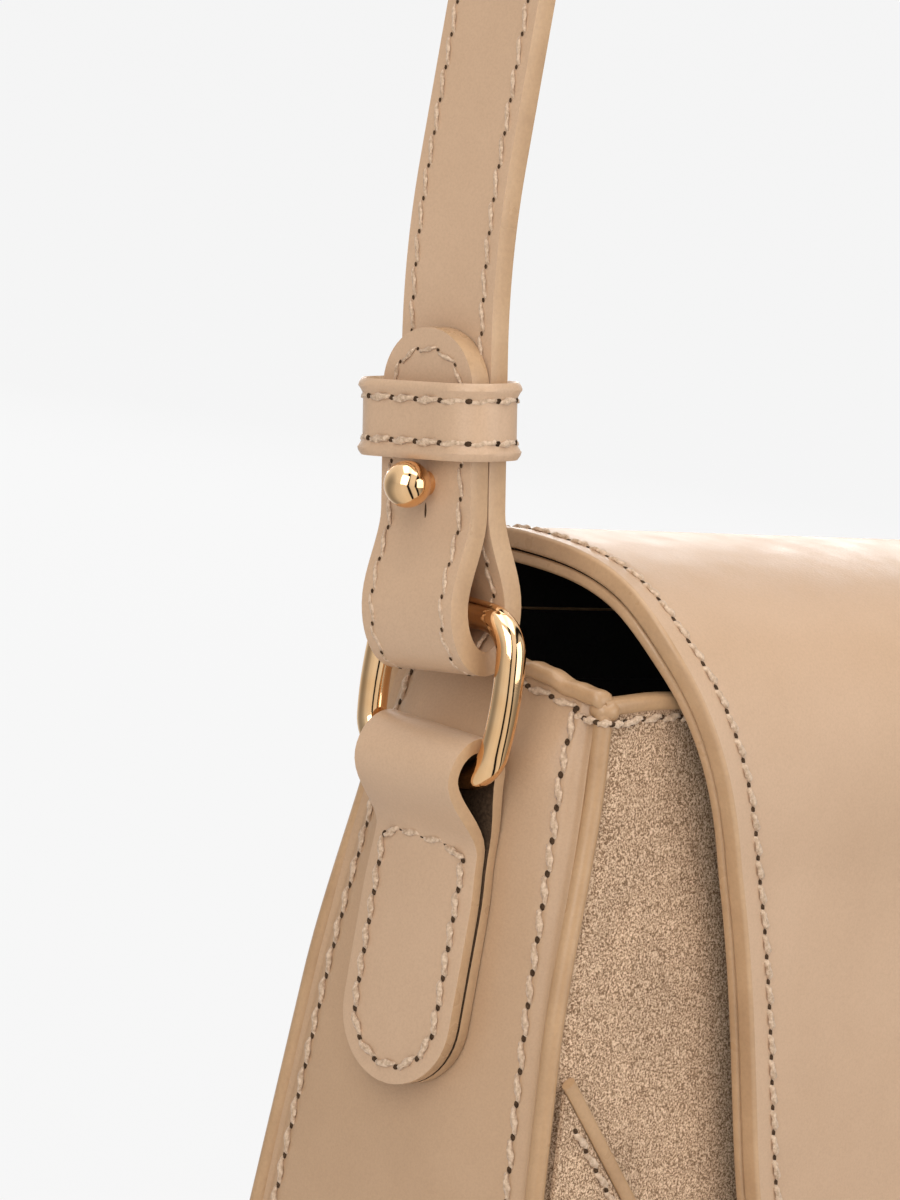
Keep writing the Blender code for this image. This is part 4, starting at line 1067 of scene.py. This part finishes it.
def buildTail():
    vs = steps(0, 0.5, 8) + [0.5 + 0.5 * math.sin(math.pi / 2 * t) for t in steps(0, 1, 14)[1:]]
    obj = gridPiece("flapTail", steps(1, -1, 61), vs, tailPlace)
    mergeSeams(obj)
    coat(obj, leather, paintedEdge)
    if any(polygon.normal.y < 0 for polygon in obj.data.polygons):
        inEditMode(obj, (bpy.ops.mesh.flip_normals, {}))
    leatherSheet(obj, flap["outer"], tail["edge"], segments=3)
    finish(obj, "bag", "smooth_leather", "flap_tail")
    r = tail["length"] / 2
    s = tail["stitchIn"]
    spots = [(flap["half"] - s, z) for z in steps(0.001, r, 10)]
    for angle in steps(0, math.pi / 2, 16)[1:]:
        spots.append((flap["half"] - r + (r - s) * math.cos(angle), r + (r - s) * math.sin(angle)))
    corner = [(-x, d) for x, d in reversed(spots)]
    spots += [(x, 2 * r - s) for x in steps(flap["half"] - r, -flap["half"] + r, 120)[1:]] + corner
    line = []
    out = body["gap"] + flap["outer"] + stitch["above"]
    for x, d in spots:
        z = body["back"] - d
        line.append((Vector((x, halfDepth(z) + out, z)), Vector((0, 1, 0.07))))
    stitches("tailStitches", [line], tail["pitch"], "bag")


fold = {"radius": 0.0007, "sunk": 0.00045}


def buildFold():  # the crease where the flap's leather turns over the back edge
    y = halfDepth(body["back"]) + body["gap"] + flap["outer"] - fold["sunk"]
    z = body["back"] + body["gap"] / 2
    reach = flap["half"] - fold["radius"] * 1.5
    obj = tubePiece("flapFold", [Vector((x, y, z)) for x in steps(-reach, reach, 40)], fold["radius"])
    coat(obj, leather)
    finish(obj, "bag", "smooth_leather", angle=80)


buildTail()
buildFold()

lining = {"wall": 0.0023, "cloth": 0.0008, "floor": 0.0044, "drop": 0.006, "corner": 0.0075}


def buildLining():
    top = body["front"] - lining["drop"]

    def section(z, drop, u):
        halfX = outlineHalf(max(z, drop), drop)
        halfY = halfDepth(z) - drop
        corner = min(lining["corner"], halfX, halfY)
        quarter = min(int(u * 4), 3)
        sx, sy = ((1, 1), (-1, 1), (-1, -1), (1, -1))[quarter]
        angle = math.pi / 2 * (quarter + (u * 4 - quarter))
        return Vector((sx * (halfX - corner) + corner * math.cos(angle),
                       sy * (halfY - corner) + corner * math.sin(angle), z))
    wall = lining["wall"]
    inside = wall + lining["cloth"]
    floor = lining["floor"]
    low = floor + lining["cloth"]
    rise, sink = ([trig(math.pi / 2 * t) for t in steps(0, 1, 10)] for trig in (math.cos, math.sin))
    rows = [(floor + (body["corner"] - floor) * (1 - share), wall) for share in rise]
    rows += [(z, wall) for z in steps(body["corner"], top, 10)[1:]]
    rows += [(z, inside) for z in steps(top, body["corner"], 10)]
    rows += [(low + (body["corner"] - low) * (1 - share), inside) for share in sink[1:]]
    # each run of columns stops just short of the next quarter
    us = [quarter / 4 + 0.2499 * t for quarter in range(4) for t in steps(0, 1, 7)] + [0.0]
    obj = gridPiece("liningPocket", us, rows, lambda u, row: section(row[0], row[1], u), True)
    closeEnds(obj, 60)
    coat(obj, darkLiningAndShade)
    finish(obj, "bag", "dark_lining", "body_lining")


buildLining()
print("tail and lining ready")

ring = {"bar": 0.0045, "halfWide": 0.0118, "halfHigh": 0.01185, "corner": 0.0046, "bow": 0.0013, "bowFrom": 0.010,
        "z": 0.1252}
tab = {"thick": 0.0021, "halfWide": 0.0096, "endHalf": 0.0108, "waist": 0.0006, "bottom": 0.06445, "slack": 0.0018,
       "merge": 0.012, "neck": 0.005, "edge": 0.0008, "aside": 0.0005,
       "stitchIn": 0.0026, "stitchUp": 0.0010, "stitchBend": 0.0022, "pitch": 0.0046}
barZ = ring["z"] - ring["halfHigh"]
topBarZ = ring["z"] + ring["halfHigh"]
barOut = body["gap"] + tab["thick"] + tab["slack"] + ring["bar"] / 2
ringX = gussetFace(0, barZ) + barOut


def buildRings():
    track = roundedLoop(ring["halfWide"], ring["halfHigh"], ring["corner"], 13, 12)
    for side, name in ((-1, "Left"), (1, "Right")):
        points = []
        for y, z in track:
            way = (1 if y > 0 else -1) * smooth(abs(y) / ring["bowFrom"])
            bow = ring["bow"] * (1 - (z / ring["halfHigh"]) ** 2) * way
            points.append(Vector((side * ringX, y + bow, ring["z"] + z)))
        obj = tubePiece("ovalRing" + name, points, ring["bar"] / 2 * 0.99, closed=True, fineness=8)
        coat(obj, gold)
        finish(obj, name.lower() + "_ring", "pale_gold", "ring_" + name.lower(), angle=60)


def tabHalf(z):
    if z < tab["bottom"] + tab["endHalf"]:
        drop = tab["bottom"] + tab["endHalf"] - z
        return math.sqrt(max(0.0, tab["endHalf"] ** 2 - drop * drop))
    wide = tab["halfWide"] + (tab["endHalf"] - tab["halfWide"]) * smooth((barZ - z) / tab["merge"])
    return wide - tab["waist"] * math.exp(-((z - barZ + tab["merge"]) / tab["neck"]) ** 2)


def tabTrack():  # distance from the gusset and height, up the inner layer, round the bar and down the outer one
    near = body["gap"] + tab["thick"] / 2
    far = near + tab["thick"] + body["gap"]
    turn = ring["bar"] / 2 + tab["slack"] + tab["thick"] / 2
    mergeZ = barZ - tab["merge"]
    low = [tab["bottom"] + tab["endHalf"] * (1 - math.cos(math.pi / 2 * t)) for t in steps(0.06, 1, 12)]
    low += steps(tab["bottom"] + tab["endHalf"], mergeZ, 12)[1:]
    track = [(near, z) for z in low]
    track += [(near, mergeZ + (barZ - mergeZ) * t) for t in steps(0.15, 0.9, 5)]
    track += [(barOut - turn * math.cos(a), barZ + turn * math.sin(a)) for a in steps(0, math.pi, 19)]
    for t in steps(0.08, 0.92, 9):
        track.append((barOut + turn + (far - barOut - turn) * smooth(t), barZ - tab["merge"] * t))
    track += [(far, z) for z in reversed(low)]
    return track


def tabSpots():  # y and z round the stitched loop
    top = barZ - tab["merge"] + tab["stitchUp"]
    reach = tab["endHalf"] - tab["stitchIn"]
    bend = tab["stitchBend"]
    low = tab["bottom"] + tab["endHalf"]
    spots = [(y, top) for y in steps(0, reach - bend, 8)]
    spots += [(reach - bend + bend * math.sin(a), top - bend + bend * math.cos(a))
              for a in steps(0, math.pi / 2, 6)[1:]]
    spots += [(reach, z) for z in steps(top - bend, low, 20)[1:]]
    spots += [(reach * math.cos(a), low - reach * math.sin(a)) for a in steps(0, math.pi / 2, 20)[1:]]
    return spots + [(-y, z) for y, z in reversed(spots[:-1])]


def buildTabs():
    track = tabTrack()
    rest = gussetFace(0, barZ)
    right = [0.25, 0.5, 0.66, 0.72, 0.77, 0.82, 0.88, 0.95, 1]
    cols = [-u for u in reversed(right)] + [0] + right

    def onTab(y, z, out):
        return Vector((-rest - (gussetFace(y, z) - rest) * smooth((barZ - z) / tab["merge"]) - out, y, z))
    for side, name in ((1, "Left"), (-1, "Right")):
        def place(u, k):
            out, z = track[k]
            follow = smooth((barZ - z) / tab["merge"])
            return onSide(onTab(u * tabHalf(z) - tab["aside"] * (1 - follow), z, out), side)
        obj = gridPiece("sideTab" + name, cols if side == 1 else cols[::-1], list(range(len(track))), place)
        # the inner faces take the near-black brown, as painted shade between the layers
        coat(obj, leather, paintedEdge, tabShadeInside)
        leatherSheet(obj, tab["thick"], tab["edge"], offset=0, inside=2)
        finish(obj, "bag", "smooth_leather", "side_tab_" + name.lower())
        face = body["gap"] * 2 + tab["thick"] * 2 + stitch["above"]
        line = [(onSide(onTab(y, z, face), side), Vector((-side, 0, 0))) for y, z in tabSpots()]
        stitches("tabStitches" + name, [line], tab["pitch"], "bag")


buildRings()
buildTabs()
print("rings and tabs ready")

strap = {"wide": 0.018, "thick": 0.0036, "edge": 0.0009, "inward": math.radians(-3.7), "back": math.radians(8.5),
         "shift": 0.0014, "outset": 0.0013, "straight": 0.037, "turn": 0.014, "upperInward": math.radians(5.5),
         "upperBack": math.radians(4.7), "crownZ": 0.600, "crownY": 0.030, "riseHandle": 0.220, "crownHandle": 0.085,
         "drop": 0.0081, "halfGap": 0.0058, "close": 0.0140, "tongue": 0.0410, "tongueRows": 14,
         "stitchAt": 0.0070, "pitch": 0.0049, "thread": 0.64,
         "tipFlat": 0.86, "tipPitch": 0.0042, "tipThread": 0.58}  # thread low enough for the keeper to pass
strapUp = Vector((math.tan(strap["inward"]), math.tan(strap["back"]), 1)).normalized()
upperUp = Vector((math.tan(strap["upperInward"]), math.tan(strap["upperBack"]), 1)).normalized()
strapAcross = (Vector((0, -1, 0)) + strapUp * strapUp.y).normalized()
strapOut = strapAcross.cross(strapUp).normalized()
strapStart = Vector((-ringX - strap["outset"], strap["shift"], topBarZ))
layer = (strap["thick"] + body["gap"]) / 2


def strapPoint(out, up, across=0.0):
    return strapStart + strapOut * out + strapUp * up + strapAcross * across


def loopGap(up):
    if up >= 0:
        return layer + (strap["halfGap"] - layer) * (1 - smooth(up / strap["close"]))
    return strap["halfGap"] * math.sqrt(max(0.0, 1 - (up / strap["drop"]) ** 2))


def strapTrack():  # middle line, direction across and share of the width, from the tongue's tip to the crown
    track = []
    for angle in steps(0.10, math.pi / 2, strap["tongueRows"]):
        up = strap["tongue"] - strap["wide"] / 2 * (1 - math.cos(angle))
        track.append((strapPoint(layer, up), strapAcross, math.sin(angle)))
    shoulder = strap["tongue"] - strap["wide"] / 2
    for up in steps(shoulder, strap["close"], 16)[1:]:
        track.append((strapPoint(layer, up), strapAcross, 1.0))
    for up in steps(strap["close"], 0, 12)[1:]:
        track.append((strapPoint(loopGap(up), up), strapAcross, 1.0))
    for angle in steps(0, math.pi, 23)[1:-1]:
        out, up = strap["halfGap"] * math.cos(angle), -strap["drop"] * math.sin(angle)
        track.append((strapPoint(out, up), strapAcross, 1.0))
    for up in steps(0, strap["close"], 12):
        track.append((strapPoint(-loopGap(up), up), strapAcross, 1.0))
    for up in steps(strap["close"], strap["straight"], 12)[1:]:
        track.append((strapPoint(-layer, up), strapAcross, 1.0))
    start = strapPoint(-layer, strap["straight"])
    bend = start + strapUp * strap["turn"]
    turned = bend + upperUp * strap["turn"]
    for t in steps(0, 1, 16)[1:]:
        track.append((start * (1 - t) ** 2 + bend * 2 * t * (1 - t) + turned * t * t, strapAcross, 1.0))
    rise = turned + upperUp * strap["riseHandle"]
    before = Vector((-strap["crownHandle"], strap["crownY"], strap["crownZ"]))
    crown = Vector((0, strap["crownY"], strap["crownZ"]))
    for t in steps(0, 1, 90)[1:]:
        track.append((cubic(turned, rise, before, crown, t), strapAcross.lerp(Vector((0, -1, 0)), smooth(t)), 1.0))
    return track


leftTrack = strapTrack()
fullTrack = leftTrack + [(mirrorX(c), mirrorX(a), w) for c, a, w in reversed(leftTrack[:-1])]
strapFrames = []
for k, (centre, across, wide) in enumerate(fullTrack):
    ahead = (fullTrack[min(k + 1, len(fullTrack) - 1)][0] - fullTrack[max(k - 1, 0)][0]).normalized()
    side = (across - ahead * across.dot(ahead)).normalized()
    strapFrames.append((centre, side, side.cross(ahead).normalized(), wide))


def buildStrap():
    right = [0.4, 0.65, 0.72, 0.778, 0.84, 0.90, 0.96, 1]
    cols = [-u for u in reversed(right)] + [0] + right

    def place(u, k):
        centre, side, normal, wide = strapFrames[k]
        return centre + side * (u * strap["wide"] / 2 * wide)
    obj = gridPiece("strapLeather", cols, list(range(len(strapFrames))), place)
    coat(obj, leather, paintedEdge)
    leatherSheet(obj, strap["thick"], strap["edge"], offset=0, segments=4)
    finish(obj, "strap", "smooth_leather", "shoulder_strap")


def strapLines():  # both rows on both faces, between the tongues' round ends
    lines = []
    first = strap["tongueRows"]
    face = strap["thick"] / 2 + stitch["above"]
    for way in (1, -1):
        for edge in (-1, 1):
            lines.append([(centre + side * (edge * strap["stitchAt"]) + normal * (way * face), normal * way)
                          for centre, side, normal, wide in strapFrames[first:len(strapFrames) - first]])
    return lines


def tongueArcs():
    lines = []
    for side in (1, -1):
        for way in (1, -1):
            line = []
            for angle in steps(-math.pi / 2, math.pi / 2, 30):
                up = strap["tongue"] - strap["wide"] / 2 + strap["tipFlat"] * strap["stitchAt"] * math.cos(angle)
                out = layer + way * (strap["thick"] / 2 + stitch["above"])
                p = strapPoint(out, up, strap["stitchAt"] * math.sin(angle))
                line.append((onSide(p, side), onSide(strapOut * way, side)))
            lines.append(line)
    return lines


buildStrap()
stitches("strapStitches", strapLines(), strap["pitch"], "strap", size=strap["thread"])
stitches("tongueStitches", tongueArcs(), strap["tipPitch"], "strap", size=strap["tipThread"])
print("strap ready")

keeper = {"start": 0.0218, "high": 0.0114, "wall": 0.0022, "play": 0.0006, "loose": 0.0008, "aside": 0.0010,
          "corner": 0.0056, "edge": 0.0010, "rim": 0.00055, "rimAt": 0.0010, "rimHigh": 0.0008,
          "stitchIn": 0.0026, "pitch": 0.0048, "slant": 6}


def keeperLoop(grow):  # across and out from the strap's middle, grown from the keeper's inner face
    wide = strap["wide"] / 2 + keeper["play"] + keeper["loose"] + grow
    deep = layer + strap["thick"] / 2 + keeper["play"] + grow
    loop = [(across - keeper["aside"], out)  # it has slipped towards the back
            for across, out in roundedLoop(wide, deep, keeper["corner"], 9, 8)]
    return loop + [loop[0]]


def keeperRim(up):  # turned edges stand a little proud of the band between them
    low, high = up - keeper["start"] - keeper["rimAt"], keeper["start"] + keeper["high"] - keeper["rimAt"] - up
    return keeper["rim"] * (math.exp(-(low / keeper["rimHigh"]) ** 2) + math.exp(-(high / keeper["rimHigh"]) ** 2))


def buildKeepers():
    ups = steps(keeper["start"], keeper["start"] + keeper["high"], 21)
    loops = {up: keeperLoop(keeper["wall"] + keeperRim(up)) for up in ups}
    wider = keeperLoop(keeper["wall"] + stitch["above"])
    order = list(range(len(wider)))
    for side, name in ((1, "Left"), (-1, "Right")):
        def place(u, up):
            across, out = loops[up][u]
            return onSide(strapPoint(out, up, across), side)
        obj = gridPiece("keeperLoop" + name, order[::-1] if side == 1 else order, ups, place)
        inEditMode(obj, joinDoubles)
        coat(obj, leather, paintedEdge)
        leatherSheet(obj, keeper["wall"], keeper["edge"])
        finish(obj, name.lower() + "_keeper", "smooth_leather", "keeper_" + name.lower())
        lines = []
        for up in (keeper["start"] + keeper["stitchIn"], keeper["start"] + keeper["high"] - keeper["stitchIn"]):
            line = []
            for k, (across, out) in enumerate(wider):
                nextX, nextY = wider[(k + 1) % (len(wider) - 1)]
                lastX, lastY = wider[k - 1 if k else -2]
                n = (strapAcross * (nextY - lastY) + strapOut * -(nextX - lastX)).normalized()
                line.append((onSide(strapPoint(out, up, across), side), onSide(n, side)))
            lines.append(line)
        stitches("keeperStitches" + name, lines, keeper["pitch"], name.lower() + "_keeper", slant=keeper["slant"])


buildKeepers()

stud = {"up": 0.0181, "ball": 0.0035, "ballOut": 0.86, "neck": 0.0019, "neckLong": 0.0012, "neckShown": 0.8,
        "head": 0.0040, "headThick": 0.0009, "headEdge": 0.0003, "shank": 0.0011, "split": 0.00015,
        "slot": 0.0009, "slotDeep": 0.0002}
slit = {"below": 0.0046, "halfLong": 0.0019, "halfWide": 0.00022, "deep": 0.00010, "sunk": 0.00002}


def turnedPiece(name, profile, side):  # turned round the stud's axis, from pairs of radius and distance out
    along = onSide(strapOut, side)
    start = onSide(strapPoint(0, stud["up"]), side)
    one = along.orthogonal().normalized()
    two = along.cross(one)

    def place(u, k):
        r, h = profile[k]
        return start + along * h + one * (r * math.cos(u)) + two * (r * math.sin(u))
    obj = gridPiece(name, steps(0, math.tau, 49), list(range(len(profile))), place, True)
    coat(obj, gold)
    return obj


def buildStuds():
    surface = layer + strap["thick"] / 2
    ballAt = surface + stud["neckLong"] * stud["neckShown"] + stud["ball"] * stud["ballOut"]
    ball = [(0, stud["split"]), (stud["neck"], stud["split"])]
    ball += [(stud["ball"] * math.sin(a), ballAt - stud["ball"] * math.cos(a))
             for a in steps(math.asin(stud["neck"] / stud["ball"]), math.pi, 26)]
    low = -surface - stud["headThick"]
    e = stud["headEdge"]
    screw = [(0, low + stud["slotDeep"]), (stud["slot"], low + stud["slotDeep"]), (stud["slot"], low),
             (stud["head"] - e, low), (stud["head"] - e * 0.3, low + e * 0.3), (stud["head"], low + e),
             (stud["head"], -surface), (stud["shank"], -surface), (stud["shank"], -stud["split"]),
             (0, -stud["split"])]
    for side, name in ((1, "Left"), (-1, "Right")):
        finish(turnedPiece("ballStud" + name, ball, side), "strap", "pale_gold", "ball_stud_" + name.lower(), angle=50)
        finish(turnedPiece("studScrew" + name, screw, side), "strap", "pale_gold", "stud_screw_" + name.lower(),
               angle=30)
        # the button slit: a thin dark mark sunk in the strap's face, as painted shade in the cut
        deselect()
        bpy.ops.mesh.primitive_uv_sphere_add(segments=16, ring_count=8, radius=1)
        obj = bpy.context.object
        obj.name = obj.data.name = "buttonSlit" + name
        for vertex in obj.data.vertices:
            x, y, z = vertex.co
            up = stud["up"] - slit["below"] + x * slit["halfLong"]
            vertex.co = onSide(strapPoint(surface - slit["sunk"] + z * slit["deep"], up, y * slit["halfWide"]), side)
        mergeSeams(obj)
        coat(obj, holeShade)
        finish(obj, "strap", "smooth_leather", angle=80)


buildStuds()
print("keepers and studs ready")

for node, material in (("magnet_front", gold), ("magnet_flap", gold), ("base_board", board)):
    coat(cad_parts[node], material)
